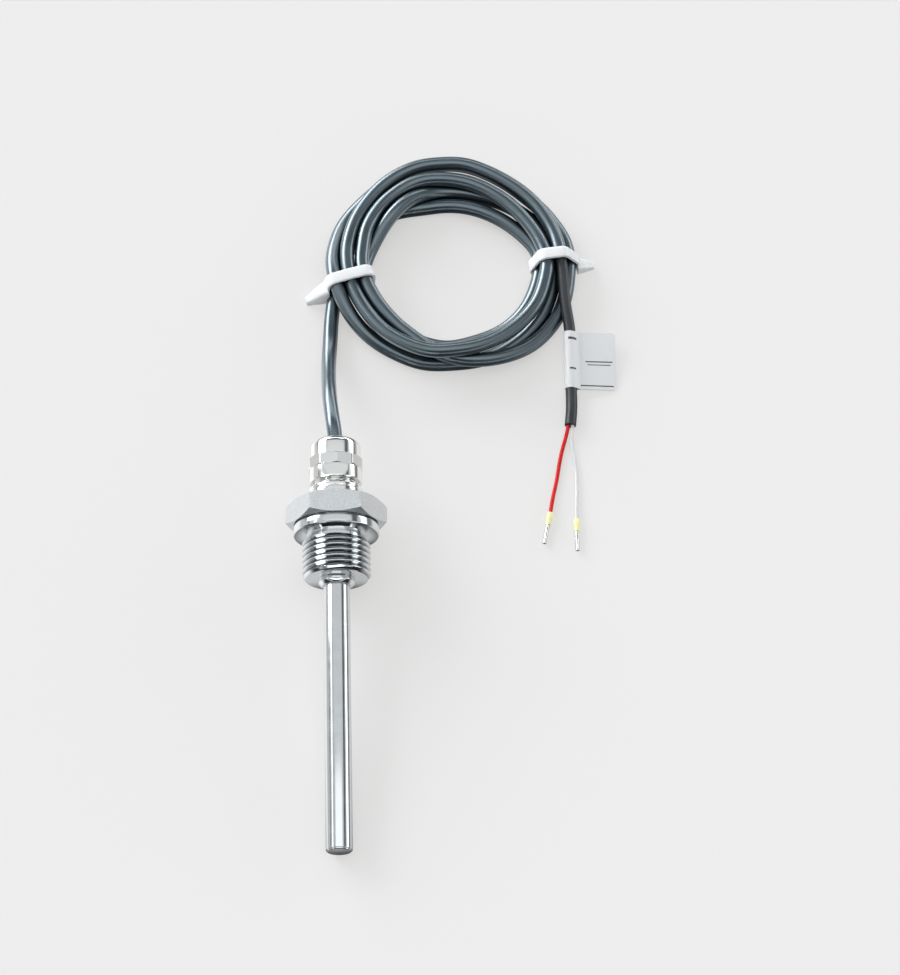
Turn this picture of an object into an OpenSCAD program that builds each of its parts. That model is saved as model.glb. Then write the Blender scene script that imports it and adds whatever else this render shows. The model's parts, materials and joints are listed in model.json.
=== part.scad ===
// Screw-in resistance temperature probe with a cable gland and a coiled lead.
// The probe lies on its tip and on the lower flat of its hexagon, at z = 0.
// Along the probe, heights are counted from the sealing face: the cable side is positive.

/* [Probe tube] */
// Length from the sealing face to the tip
insertion_length = 100; // [60:5:200]
// Outside diameter of the tube
tube_d = 8; // [6:0.5:8.5]
// Wall of the tube
tube_wall = 0.75; // [0.5:0.05:1]
// Length of tube that stands inside the body, above the sealing face
tube_top = 1.5; // [0.5:0.5:2.5]
// Depth to which the tube's upper end is turned down for its seat in the bush
tube_seat = 0.2; // [0.1:0.05:0.3]
// Height of the welded cap outside the end of the tube
cap_h = 0.6; // [0.4:0.1:1]
// Step between the tube and the rim of the cap
cap_step = 0.3; // [0.1:0.1:0.6]
// Depth of the cap's spigot inside the tube
cap_spigot = 1.6; // [1:0.2:3]

/* [Screw-in body] */
// Outside diameter of the pipe thread
thread_d = 20.955; // [20.5:0.005:21.4]
// Pitch of the pipe thread
thread_pitch = 1.814; // [1.4:0.002:2.2]
// Depth of the pipe thread
thread_depth = 1.162; // [0.9:0.002:1.3]
// Length from the sealing face to the end of the thread
thread_length = 14; // [12:0.5:20]
// Chamfer at the end of the thread
thread_chamfer = 1; // [0.5:0.1:1.2]
// Length of the plain neck under the sealing face
neck_h = 2.1; // [1.4:0.1:3]
// Diameter of the plain neck
neck_d = 18.2; // [17:0.1:18.6]
// Diameter of the sealing collar
collar_d = 26.4; // [24:0.2:27]
// Height of the sealing collar
collar_h = 2.8; // [2:0.1:4]
// Width of the groove between the collar and the hexagon
groove_h = 0.5; // [0.3:0.1:0.8]
// Depth of the groove between the collar and the hexagon
groove_depth = 0.7; // [0.3:0.1:1.2]
// Width of the hexagon across its flats
hex_af = 27; // [26:0.5:32]
// Height of the hexagon
hex_h = 7.2; // [6:0.2:12]
// Angle of the chamfer on the hexagon's corners
hex_chamfer_angle = 30; // [15:5:40]

/* [Weld bush] */
// Diameter of the ring round the tube below the thread
bush_d = 11.1; // [10.5:0.1:13]
// Height of that ring
bush_h = 2.3; // [1.5:0.1:4]
// Chamfer of that ring
bush_chamfer = 0.5; // [0.2:0.1:0.8]
// Diameter of the spigot inside the body
bush_spigot_d = 10; // [9.4:0.1:10.4]
// Length of the spigot inside the body
bush_spigot_h = 10; // [5:0.5:11]

/* [Sensor insert] */
// Width of the measuring element
element_w = 2.2; // [1.6:0.1:2.6]
// Thickness of the measuring element
element_t = 1.1; // [0.8:0.1:1.4]
// Length of the measuring element
element_l = 5; // [3:0.5:8]
// Distance from the measuring element to the cap
element_gap = 2; // [1:0.5:4]
// Diameter of the measuring element's leads
element_lead_d = 0.3; // [0.2:0.05:0.4]
// Length of the measuring element's leads
element_lead_l = 7; // [4:0.5:12]
// Length of the sleeves that join leads and cores
splice_l = 5; // [3:0.5:8]
// Outside diameter of the insulating sleeve
sleeve_d = 5; // [4.6:0.1:5.4]
// Wall of the insulating sleeve
sleeve_wall = 0.35; // [0.25:0.05:0.5]
// Length of the insulating sleeve
sleeve_l = 24; // [18:1:30]
// Height of the heat conducting filling in the tip
filling_h = 16; // [12:1:20]

/* [Cable gland] */
// Height of the gasket under the gland
gasket_h = 1; // [0.6:0.1:1.6]
// Diameter of the gasket under the gland
gasket_d = 15.2; // [14:0.1:15.8]
// Diameter of the gland's flange
flange_d = 16.6; // [15.4:0.1:17]
// Height of the gland's flange
flange_h = 3.8; // [3:0.1:6]
// Distance from the flange's top edge to the fine groove
flange_groove_at = 1.2; // [0.8:0.1:1.6]
// Width of the fine groove round the flange
flange_groove_w = 0.5; // [0.3:0.1:0.7]
// Diameter of the gland's thread in the body
stem_d = 12; // [11.4:0.1:12.6]
// Length of the gland's thread in the body
stem_h = 7; // [5:0.5:7.5]
// Diameter of the thread that carries the cap nut
nut_thread_d = 13; // [12.6:0.1:13.4]
// Length of the thread that carries the cap nut
nut_thread_h = 6.6; // [6:0.2:7.4]
// Gap between the flange and the cap nut
nut_gap = 1.8; // [1:0.1:2.4]
// Clearance between the cable and the gland's metal parts
cable_clearance = 0.3; // [0.2:0.05:0.5]

/* [Cap nut] */
// Diameter of the cap nut below its wrench band
nut_d = 16.2; // [15.4:0.1:16.4]
// Diameter of the cap nut's domed part
nut_top_d = 15.5; // [15:0.1:16]
// Height of the plain part below the wrench band
nut_low_h = 4.2; // [3.6:0.1:5]
// Size of the wrench band across its flats
band_af = 16.4; // [16.2:0.1:17]
// Height of the wrench band
band_h = 3.6; // [2.5:0.1:5]
// Number of flats on the wrench band
band_flats = 10; // [8:1:12]
// Angle by which the wrench band is turned
band_turn = 21; // [0:1:36]
// Height of the domed part above the wrench band
nut_top_h = 6.1; // [5.5:0.1:8]
// Radius of the dome's edge
nut_round = 2.2; // [1:0.1:2.4]

/* [Clamping parts] */
// Outside diameter of the clamping insert in the gland
insert_d = 9.8; // [9.2:0.1:10.2]
// Diameter of the insert's collar
insert_collar_d = 12; // [11.4:0.1:12.2]
// Height of the insert's collar
insert_collar_h = 0.9; // [0.6:0.1:1.2]
// Depth of the insert inside the gland
insert_depth = 4.6; // [3:0.2:5]
// Height of the insert's fingers
finger_h = 4; // [3:0.2:4.4]
// Number of fingers
finger_count = 8; // [6:1:10]
// Width of the slots between the fingers
finger_slot = 0.6; // [0.4:0.1:0.9]
// Outside diameter of the rubber seal
seal_d = 8; // [7.2:0.1:8.2]

/* [Cable] */
// Diameter of the cable jacket
cable_d = 4.6; // [4:0.1:4.8]
// Diameter of the inner sheath at the free end
sheath_d = 3.6; // [3.2:0.1:3.8]
// Diameter of a core
core_d = 1.2; // [1:0.05:1.3]
// Length of jacket inside the gland, below the gland's flange
jacket_inside = 3; // [1:0.5:5]
// Length of straight cable outside the cap nut
jacket_outside = 1; // [0.5:0.5:3]
// Outer radius of the cable coil
coil_r = 39.2; // [38.4:0.1:42]
// Radius of the open middle of the coil
coil_hole_r = 25; // [22:0.5:26]
// Height of the coil
coil_h = 10; // [9.8:0.1:12]

/* [Cable ties] */
// Width of the strap
strap_w = 3.8; // [3:0.1:5]
// Thickness of the strap
strap_t = 1.1; // [0.8:0.1:1.4]
// Clearance between the strap and the bundle
strap_clearance = 0.05; // [0.05:0.05:0.2]
// Width of the lock
lock_w = 5.2; // [5:0.1:7]
// Length of the lock
lock_l = 3.8; // [3:0.1:5]
// Height of the lock beside the bundle
lock_h = 5.4; // [4:0.1:5.6]
// Height of the lock's outer end
lock_end_h = 3; // [2.6:0.1:4]
// Length of the cut strap end outside the lock
strap_end = 1.4; // [1:0.1:4]

/* [Label] */
// Height of the label along the sheath
label_h = 20; // [12:0.5:21]
// Length of the flag beside the sheath
flag_l = 14.6; // [8:0.2:16]
// Thickness of one layer of the label
label_t = 0.2; // [0.15:0.05:0.3]
// Length over which the two layers come together
label_taper = 3.4; // [2.6:0.1:5]

/* [Wire end ferrules] */
// Outside diameter of the collar at its mouth
ferrule_d = 2; // [1.8:0.1:2.4]
// Diameter of the collar at its neck
ferrule_neck_d = 1.6; // [1.5:0.05:1.7]
// Length of the collar
ferrule_l = 4.2; // [3.6:0.1:6]
// Diameter of the metal pin
pin_d = 1.1; // [0.9:0.05:1.2]
// Length of the metal pin outside the collar
pin_l = 6.5; // [5:0.5:10]
// Depth of the hole in the end of the metal pin
pin_hole = 0.8; // [0.4:0.1:1.5]

/* [Hidden] */
$fn = 96;
eps = 0.01;          // overshoot of a cut past the face that it opens

// heights along the probe
hex_z = collar_h + groove_h;
hex_top = hex_z + hex_h;
flange_z = hex_top + gasket_h;
flange_top = flange_z + flange_h;
nut_z = flange_top + nut_gap;
band_z = nut_z + nut_low_h;
dome_z = band_z + band_h;
mouth_z = dome_z + nut_top_h;
thread_top = flange_top + nut_thread_h;
tube_end = cap_h - insertion_length;

// radii and fits
tube_r = tube_d / 2;
tube_bore_r = tube_r - tube_wall;
cap_r = tube_r - cap_step;
seat_r = tube_r - tube_seat;
bore_r = seat_r + 0.6;                       // clearance bore round the tube's upper end
cable_bore_r = cable_d / 2 + cable_clearance;
lip_r = nut_top_d / 2 - nut_round;               // flat end face of the cap nut
hex_r = hex_af / sqrt(3);
core_x = core_d / 2 + 0.1;                   // the two cores lie side by side
nut_play = 0.2;                              // room between the cap nut and the clamping insert
finger_tip = 0.5;                            // thickness of the insert's fingers at their tips
stem_play = 0.4;                             // room below the gland's thread in the body

// the probe rests on the tube's end and on the hexagon's lower flat, or on the collar if that stands out
hex_tilt = atan((hex_af / 2 - tube_r) / (hex_z - tube_end));
collar_tilt = atan((tube_r - collar_d / 2) / tube_end);
tilt = max(hex_tilt, collar_tilt);
seal_z = tube_r * cos(tilt) - tube_end * sin(tilt);
seal_y = ((insertion_length - mouth_z) * cos(tilt) + (cap_r - lip_r) * sin(tilt)) / 2;
probe_dir = [0, cos(tilt), sin(tilt)];
mouth_y = seal_y + mouth_z * cos(tilt);

// measuring insert, counted up from the cap
element_z = tube_end + cap_spigot + element_gap;
element_top = element_z + element_l;
splice_z = element_top + element_lead_l;
splice_top = splice_z + splice_l;
jacket_z = flange_z - jacket_inside;

// the coil and its ties, from the point of the floor under the gland's mouth
coil_x = 36.7;
coil_y = 71.4;
hole_x = 0.7;        // the opening sits off the coil's centre
hole_y = -5.7;
left_tie_y = 63.3;
left_tie_turn = 9;
right_tie_y = 69.6;
right_tie_turn = 8;
layer_1 = cable_d / 2 + strap_t + strap_clearance;
layer_2 = layer_1 + 0.92 * cable_d;
left_bundle = [[-0.6, layer_1], [4.3, layer_1], [9.2, layer_1], [3.4, layer_2], [8.2, layer_2]];
right_bundle = [[64.4, layer_1], [69, layer_1], [73.6, layer_1], [67, layer_2], [71.6, layer_2]];

// the free cable's route, from the same point
lead_end = [-1.2, 52, 2.4];
lead_tuck = [left_bundle[0].x, left_tie_y - strap_w / 2, layer_1];
lead_route = [[-0.4, 4.6, 16.8], [-1.1, 10.4, 15.9], [-1.8, 18.4, 13.2],
    [-2.1, 27, 8.6], [-2.1, 35.5, 4.6], [-1.7, 43.5, 2.6]];
sheath_start = [73.4, 50, 5.4];
sheath_bend = [72.2, 57, 6.4];
label_from = [73.9, 24.6, 2.2];
label_to = [73.9, 46.2, 4.9];
sheath_route = [[73.9, 35.4, 3.55], label_from, [73.8, 18, 1.9]];
sheath_end = [73.2, 12, 1.8];
core_red_route = [[71.8, 8.8, 1], [70.5, 4.2, 0.7], [69.3, -1.2, 0.6], [68.3, -6.8, 0.6], [67, -12.6, 0.8]];
core_white_route = [[73.5, 8, 1], [73.8, 3.4, 0.7], [74.4, -2, 0.6], [74.6, -8, 0.6], [74.3, -14.4, 0.8]];
ferrule_red = [66, -18, ferrule_d / 2];
ferrule_red_heading = 11.5;
ferrule_white = [74.1, -20.4, ferrule_d / 2];
ferrule_white_heading = 0.5;
ferrule_bore = 3;     // depth of the core in the collar
pin_root_r = pin_d / 2 - 0.18;               // the pin's thinner root in its collar

function unit(v) = v / norm(v);
function on_floor(p) = p + [0, mouth_y, 0];
function on_probe(h) = [0, seal_y, seal_z] + h * probe_dir;
function heading(a) = [-sin(a), -cos(a), 0];

// one ring of a swept tube, square to its direction
function ring(p, dir, r, sides) =
    let (side = unit(cross(dir, [0, 0, 1])), top = cross(side, dir))
    [for (k = [0:sides - 1]) p + r * (cos(360 * k / sides) * side + sin(360 * k / sides) * top)];

// direction of a route at point i: its ends are given, its inner points look past both neighbours
function route_dir(p, i, from, to) =
    i == 0 ? from : i == len(p) - 1 ? to : unit(p[i + 1] - p[i - 1]);

module swept_tube(p, d, from, to, sides) {
    last = len(p) - 1;
    points = [for (i = [0:last]) each ring(p[i], route_dir(p, i, from, to), d / 2, sides)];
    walls = [for (i = [0:last - 1], k = [0:sides - 1])
        let (a = i * sides + k, b = i * sides + (k + 1) % sides)
        each [[a, b, b + sides], [a, b + sides, a + sides]]];
    ends = [[for (k = [sides - 1:-1:0]) k], [for (k = [0:sides - 1]) last * sides + k]];
    polyhedron(points, concat(walls, ends), convexity = 6);
}

module bar(from, to, d) {
    v = to - from;
    translate(from) rotate([0, acos(v.z / norm(v)), atan2(v.y, v.x)]) cylinder(d = d, h = norm(v));
}

module on_the_probe() {
    translate([0, seal_y, seal_z]) rotate([tilt - 90, 0, 0]) children();
}

module by_the_mouth() {
    translate([0, mouth_y, 0]) children();
}

module ring_of(outer_r, inner_r, from, to) {
    translate([0, 0, from]) difference() {
        cylinder(r = outer_r, h = to - from);
        translate([0, 0, -eps]) cylinder(r = inner_r, h = to - from + 2 * eps);
    }
}

// turned profile of a thread of rings: crest radius r, from height low to height high
function thread_profile(r, pitch, depth, low, high) =
    let (count = floor((high - low) / pitch), flat = pitch / 6, flank = (pitch - 2 * flat) / 2,
         start = high - count * pitch)
    concat([[0, low], [r, low]],
        [for (k = [0:count - 1]) let (z = start + k * pitch)
            each [[r, z], [r - depth, z + flank], [r - depth, z + flank + flat], [r, z + 2 * flank + flat]]],
        [[r, high], [0, high]]);

// ---------------------------------------------------------------- probe

module screw_in_body() {
    color([0.78, 0.79, 0.80]) on_the_probe() difference() {
        union() {
            pipe_thread();
            turned_collar();
            chamfered_hexagon();
        }
        translate([0, 0, -thread_length - eps])
            cylinder(d = bush_spigot_d, h = bush_spigot_h + 2 * eps);
        translate([0, 0, -thread_length]) cylinder(r = bore_r, h = thread_length + hex_top);
        translate([0, 0, hex_top - stem_h - stem_play]) cylinder(d = stem_d, h = stem_h + 1);
    }
}

module pipe_thread() {
    r = thread_d / 2;
    intersection() {
        rotate_extrude() polygon(thread_profile(r, thread_pitch, thread_depth,
            -thread_length, -neck_h));
        rotate_extrude() polygon([[0, -thread_length], [r - thread_chamfer, -thread_length],
            [r, thread_chamfer - thread_length], [r, 0], [0, 0]]);
    }
    translate([0, 0, -neck_h]) cylinder(d = neck_d, h = neck_h + eps);
}

module turned_collar() {
    edge = 0.3;
    r = collar_d / 2;
    rotate_extrude() polygon([[0, 0], [r - edge, 0], [r, edge], [r, collar_h - edge],
        [r - edge, collar_h], [r - groove_depth, collar_h], [r - groove_depth, hex_z + eps],
        [0, hex_z + eps]]);
}

module chamfered_hexagon() {
    flat_r = hex_af / 2 - 0.1;
    rise = (hex_r - flat_r) * tan(hex_chamfer_angle);
    translate([0, 0, hex_z]) intersection() {
        cylinder(r = hex_r, h = hex_h, $fn = 6);
        rotate_extrude() polygon([[0, 0], [flat_r, 0], [hex_r, rise], [hex_r, hex_h - rise],
            [flat_r, hex_h], [0, hex_h]]);
    }
}

module weld_bush() {
    bush_r = bush_d / 2;
    color([0.74, 0.75, 0.76]) on_the_probe() rotate_extrude() polygon([
        [seat_r, -thread_length - bush_h], [tube_r + 0.5, -thread_length - bush_h],
        [bush_r - bush_chamfer, -thread_length - bush_h + bush_chamfer],
        [bush_r, -thread_length - bush_h + 2 * bush_chamfer], [bush_r, -thread_length],
        [bush_spigot_d / 2, -thread_length], [bush_spigot_d / 2, bush_spigot_h - thread_length],
        [seat_r, bush_spigot_h - thread_length]]);
}

module probe_tube() {
    edge = 0.2;
    color([0.80, 0.81, 0.82]) on_the_probe() rotate_extrude() polygon([
        [tube_bore_r, tube_end], [tube_r - edge, tube_end], [tube_r, tube_end + edge],
        [tube_r, -thread_length - bush_h], [seat_r, -thread_length - bush_h],
        [seat_r, tube_top], [tube_bore_r, tube_top]]);
}

module tip_cap() {
    edge = 0.2;
    color([0.80, 0.81, 0.82]) on_the_probe() rotate_extrude() polygon([
        [0, -insertion_length], [cap_r - edge, -insertion_length], [cap_r, edge - insertion_length],
        [cap_r, tube_end], [tube_bore_r, tube_end], [tube_bore_r, tube_end + cap_spigot],
        [0, tube_end + cap_spigot]]);
}

// ---------------------------------------------------------------- measuring insert

module measuring_element() {
    color([0.90, 0.89, 0.84]) on_the_probe()
        translate([-element_w / 2, -element_t / 2, element_z]) cube([element_w, element_t, element_l]);
}

module lead_pair(d, from, to) {
    for (x = [-core_x, core_x]) translate([x, 0, from]) cylinder(d = d, h = to - from);
}

module element_leads() {
    color([0.70, 0.70, 0.72]) on_the_probe() lead_pair(element_lead_d, element_top, splice_z);
}

module splice_sleeves() {
    color([0.72, 0.60, 0.35]) on_the_probe() difference() {
        for (x = [-1, 1]) translate([x * core_x, 0, splice_z]) cylinder(d = core_d, h = splice_l);
        lead_pair(element_lead_d, splice_z - eps, splice_z + eps);
    }
}

module insulating_sleeve() {
    color([0.86, 0.80, 0.60]) on_the_probe()
        ring_of(sleeve_d / 2, sleeve_d / 2 - sleeve_wall, element_z, element_z + sleeve_l);
}

module tip_filling() {
    low = tube_end + cap_spigot;
    inner_r = sleeve_d / 2 - sleeve_wall;
    color([0.55, 0.56, 0.58]) on_the_probe() difference() {
        translate([0, 0, low]) cylinder(r = tube_bore_r, h = filling_h);
        ring_of(sleeve_d / 2, inner_r, element_z, low + filling_h + eps);
        translate([-element_w / 2, -element_t / 2, element_z]) cube([element_w, element_t, element_l]);
        lead_pair(element_lead_d, element_top - eps, splice_z + eps);
        lead_pair(core_d, splice_z, low + filling_h + splice_l);
    }
}

module inner_core(side) {
    on_the_probe() translate([side * core_x, 0, splice_top]) cylinder(d = core_d, h = jacket_z - splice_top);
}

module inner_core_red() {
    color([0.80, 0.08, 0.10]) inner_core(-1);
}

module inner_core_white() {
    color([0.93, 0.93, 0.93]) inner_core(1);
}

// ---------------------------------------------------------------- gland

module gland_gasket() {
    color([0.16, 0.16, 0.17]) on_the_probe() ring_of(gasket_d / 2, stem_d / 2, hex_top, flange_z);
}

module gland_body() {
    r = flange_d / 2;
    edge = 0.25;
    groove = flange_top - flange_groove_at;
    half = flange_groove_w / 2;
    color([0.84, 0.84, 0.82]) on_the_probe() difference() {
        union() {
            translate([0, 0, flange_z - gasket_h - stem_h]) cylinder(d = stem_d, h = stem_h + gasket_h + eps);
            rotate_extrude() polygon([[0, flange_z], [r - edge, flange_z], [r, flange_z + edge],
                [r, groove - half], [r - half, groove], [r, groove + half],
                [r, flange_top - edge], [r - edge, flange_top], [0, flange_top]]);
            rotate_extrude() polygon(thread_profile(nut_thread_d / 2, 1, 0.55, flange_top, thread_top));
        }
        translate([0, 0, flange_z - gasket_h - stem_h - eps])
            cylinder(r = cable_bore_r, h = thread_top - flange_z + gasket_h + stem_h + 1);
        translate([0, 0, thread_top - insert_depth]) cylinder(d = insert_d, h = insert_depth + 1);
    }
}

// slotted plastic cage: sleeve in the gland, collar on its rim, tapered fingers under the dome
module clamping_insert() {
    inner_r = seal_d / 2;
    collar_top = thread_top + insert_collar_h;
    tip = collar_top + finger_h;
    color([0.88, 0.88, 0.84]) on_the_probe() difference() {
        union() {
            translate([0, 0, thread_top - insert_depth]) cylinder(d = insert_d, h = insert_depth);
            translate([0, 0, thread_top]) cylinder(d = insert_collar_d, h = insert_collar_h);
            rotate_extrude() polygon([[0, collar_top], [insert_d / 2, collar_top],
                [inner_r + finger_tip, tip], [0, tip]]);
        }
        translate([0, 0, thread_top - insert_depth - eps]) cylinder(d = seal_d, h = insert_depth + tip);
        for (k = [0:finger_count - 1]) rotate(360 * k / finger_count)
            translate([0, -finger_slot / 2, collar_top + eps]) cube([insert_d, finger_slot, finger_h + 1]);
    }
}

module rubber_seal() {
    color([0.12, 0.12, 0.13]) on_the_probe()
        ring_of(seal_d / 2, cable_d / 2, thread_top - insert_depth, thread_top + insert_collar_h + finger_h);
}

module cap_nut() {
    cavity_r = insert_collar_d / 2 + nut_play;
    cone_z = thread_top + insert_collar_h + nut_play;
    cone_top = cone_z + finger_h + nut_play;
    throat_r = seal_d / 2 + finger_tip + 2 * nut_play;
    lip_edge = 0.5;
    band_r = band_af / 2 / cos(180 / band_flats);
    color([0.86, 0.86, 0.84]) on_the_probe() difference() {
        union() {
            rotate_extrude() nut_profile();
            translate([0, 0, band_z]) intersection() {
                rotate(band_turn) cylinder(r = band_r, h = band_h, $fn = band_flats);
                rotate_extrude() polygon([[0, 0], [band_af / 2, 0], [band_r, 0.3], [band_r, band_h - 0.3],
                    [band_af / 2, band_h], [0, band_h]]);
            }
        }
        translate([0, 0, nut_z - eps]) cylinder(d = nut_thread_d, h = thread_top - nut_z + 2 * eps);
        translate([0, 0, thread_top]) cylinder(r = cavity_r, h = cone_z - thread_top + eps);
        rotate_extrude() polygon([[0, cone_z], [cavity_r, cone_z], [throat_r, cone_top], [0, cone_top]]);
        translate([0, 0, cone_top - eps]) cylinder(r = cable_bore_r, h = mouth_z - cone_top + 2 * eps);
        rotate_extrude() polygon([[0, mouth_z - lip_edge], [cable_bore_r, mouth_z - lip_edge],
            [cable_bore_r + lip_edge, mouth_z], [cable_bore_r + lip_edge, mouth_z + eps], [0, mouth_z + eps]]);
    }
}

// half section of the cap nut: lower edge chamfer, plain wall, round edge of the dome
module nut_profile() {
    edge = 0.3;
    low_r = nut_d / 2;
    top_r = nut_top_d / 2;
    polygon(concat([[0, nut_z], [low_r - edge, nut_z], [low_r, nut_z + edge], [low_r, dome_z], [top_r, dome_z]],
        [for (a = [0:15:90]) [lip_r + nut_round * cos(a), mouth_z - nut_round + nut_round * sin(a)]],
        [[0, mouth_z]]));
}

// ---------------------------------------------------------------- cable

module cable_entry() {
    color([0.20, 0.22, 0.24]) on_the_probe() translate([0, 0, jacket_z])
        cylinder(d = cable_d, h = mouth_z + jacket_outside - jacket_z);
}

module cable_lead() {
    start = on_probe(mouth_z + jacket_outside);
    route = concat([start], [for (p = lead_route) on_floor(p)], [on_floor(lead_end)]);
    color([0.20, 0.22, 0.24]) swept_tube(route, cable_d, probe_dir, unit(lead_tuck - lead_end), 12);
}

// outline of a bundle of cable turns, seen along the cable
module bundle(turns, extra) {
    hull() for (t = turns) translate(t) circle(d = cable_d + 2 * extra, $fn = 32);
}

// a flat shape set up across a bundle: its width w lies along the cable
module across(turns, y, turn, w) {
    translate([turns[1].x, y, 0]) rotate(turn) translate([-turns[1].x, w / 2, 0]) rotate([90, 0, 0])
        linear_extrude(w) children();
}

// the strap bites into the coil: at a tie the coil is no larger than its bundle
module tie_waist(turns, y, turn) {
    across(turns, y, turn, strap_w + 0.4) difference() {
        translate([turns[0].x - 3 * cable_d, -1]) square([8 * cable_d, coil_h + 2]);
        bundle(turns, 0);
    }
}

module cable_coil() {
    round = cable_d / 2;
    color([0.18, 0.20, 0.22]) by_the_mouth() difference() {
        union() {
            translate([coil_x, coil_y, 0]) rotate_extrude() polygon(concat(
                [[0, 0], [coil_r - round, 0]],
                [for (a = [-60:30:60]) [coil_r - round + round * cos(a), round + round * sin(a)
                    + (a > 0 ? coil_h - 2 * round : 0)]],
                [[coil_r - round, coil_h], [0, coil_h]]));
            bar(lead_end, lead_tuck, cable_d);
            bar(sheath_bend, sheath_start, sheath_d);
        }
        translate([coil_x + hole_x, coil_y + hole_y, -1]) cylinder(r = coil_hole_r, h = coil_h + 2);
        tie_waist(left_bundle, left_tie_y, left_tie_turn);
        tie_waist(right_bundle, right_tie_y, right_tie_turn);
    }
}

module cable_sheath() {
    route = [for (p = concat([sheath_start, label_to], sheath_route, [sheath_end])) on_floor(p)];
    color([0.15, 0.15, 0.17])
        swept_tube(route, sheath_d, unit(sheath_start - sheath_bend), [0, -1, 0], 8);
}

// nylon tie: a closed strap, its lock beside the bundle and the cut end of the strap
module cable_tie(turns, y, turn, side) {
    gap = strap_clearance;
    half = (turns[2].x - turns[0].x) / 2 + cable_d / 2 + gap + strap_t;
    color([0.95, 0.95, 0.93]) by_the_mouth() {
        across(turns, y, turn, strap_w) difference() {
            bundle(turns, gap + strap_t);
            bundle(turns, gap);
        }
        translate([turns[1].x, y, 0]) rotate(turn) mirror([side < 0 ? 1 : 0, 0, 0])
            translate([half, 0, 0]) tie_lock();
    }
}

module tie_lock() {
    inset = strap_t / 2;
    slot_z = 0.8;
    play = 0.25;
    difference() {
        translate([0, lock_w / 2, 0]) rotate([90, 0, 0]) linear_extrude(lock_w)
            polygon([[-inset, 0], [lock_l, 0], [lock_l, lock_end_h], [-inset, lock_h]]);
        translate([lock_l - 1.4, -strap_w / 2 - play, slot_z - play])
            cube([2, strap_w + 2 * play, strap_t + 2 * play]);
    }
    translate([0, -strap_w / 2, slot_z]) cube([lock_l + strap_end, strap_w, strap_t]);
}

module tie_left() {
    cable_tie(left_bundle, left_tie_y, left_tie_turn, -1);
}

module tie_right() {
    cable_tie(right_bundle, right_tie_y, right_tie_turn, 1);
}

// flag label: one strip goes round the sheath and is pressed together beside it
module cable_label() {
    v = label_to - label_from;
    slope = atan2(v.z, v.y);
    droop = 6.5;
    outer_r = sheath_d / 2 + label_t + 0.02;
    color([0.95, 0.95, 0.96]) by_the_mouth() translate(label_from + 0.04 * v) rotate([slope - 90, 0, 0])
        rotate(droop) difference() {
            union() {
                cylinder(r = outer_r, h = label_h);
                linear_extrude(label_h) polygon([[0, -outer_r], [label_taper, -label_t], [label_taper, label_t],
                    [0, outer_r]]);
                translate([0, -label_t, 0]) cube([flag_l, 2 * label_t, label_h]);
            }
            translate([0, 0, -1]) cylinder(r = outer_r - label_t, h = label_h + 2);
        }
}

// ---------------------------------------------------------------- free cores

module free_core(route, side, ferrule, angle) {
    start = sheath_end + [side * core_x, 0, 0];
    dir = heading(angle);
    points = concat([start], route, [ferrule, ferrule + ferrule_bore * dir]);
    swept_tube([for (p = points) on_floor(p)], core_d, [0, -1, 0], dir, 8);
}

module core_red() {
    color([0.82, 0.08, 0.10]) free_core(core_red_route, -1, ferrule_red, ferrule_red_heading);
}

module core_white() {
    color([0.93, 0.93, 0.94]) free_core(core_white_route, 1, ferrule_white, ferrule_white_heading);
}

// stands a ferrule, modelled upwards from its mouth, at the end of its core
module at_ferrule(place, angle) {
    by_the_mouth() translate(place) rotate([90, 0, -angle]) children();
}

module ferrule_collar() {
    throat = ferrule_l - 1;
    color([0.93, 0.90, 0.55]) difference() {
        rotate_extrude() polygon([[0, 0], [ferrule_d / 2, 0], [ferrule_d / 2, throat * 0.6],
            [ferrule_neck_d / 2, throat], [ferrule_neck_d / 2, ferrule_l], [0, ferrule_l]]);
        translate([0, 0, -eps]) cylinder(d = core_d + 0.1, h = ferrule_bore + eps);
        translate([0, 0, ferrule_bore]) cylinder(r = pin_root_r, h = ferrule_l);
    }
}

module ferrule_pin() {
    color([0.80, 0.80, 0.80]) difference() {
        union() {
            translate([0, 0, ferrule_bore]) cylinder(r = pin_root_r, h = ferrule_l - ferrule_bore + eps);
            translate([0, 0, ferrule_l]) cylinder(d = pin_d, h = pin_l);
        }
        translate([0, 0, ferrule_l + pin_l - pin_hole]) cylinder(d = pin_d * 0.65, h = pin_hole + 1);
    }
}

module ferrule_collar_red() {
    at_ferrule(ferrule_red, ferrule_red_heading) ferrule_collar();
}

module ferrule_collar_white() {
    at_ferrule(ferrule_white, ferrule_white_heading) ferrule_collar();
}

module ferrule_pin_red() {
    at_ferrule(ferrule_red, ferrule_red_heading) ferrule_pin();
}

module ferrule_pin_white() {
    at_ferrule(ferrule_white, ferrule_white_heading) ferrule_pin();
}

screw_in_body();
weld_bush();
probe_tube();
tip_cap();
measuring_element();
element_leads();
splice_sleeves();
insulating_sleeve();
tip_filling();
inner_core_red();
inner_core_white();
gland_gasket();
gland_body();
clamping_insert();
rubber_seal();
cap_nut();
cable_entry();
cable_lead();
cable_coil();
cable_sheath();
tie_left();
tie_right();
cable_label();
core_red();
core_white();
ferrule_collar_red();
ferrule_collar_white();
ferrule_pin_red();
ferrule_pin_white();
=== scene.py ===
# %% [markdown]
# # A screw-in temperature probe with its cable wound up and tied
#
# The object is a stainless measuring tube with a hexagon body and a pipe thread, a plated cable
# gland, and about a metre of dark cable. The cable is wound in a coil that two nylon ties hold,
# and it ends in a red and a white core with ferrules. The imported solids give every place. This
# lesson dresses them: it makes the true cable turns, the helix of the thread, the ties, the label
# and every finish. All lengths are in metres, and `mm` keeps them readable.

# %% Load the frame
import json
import math

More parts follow.
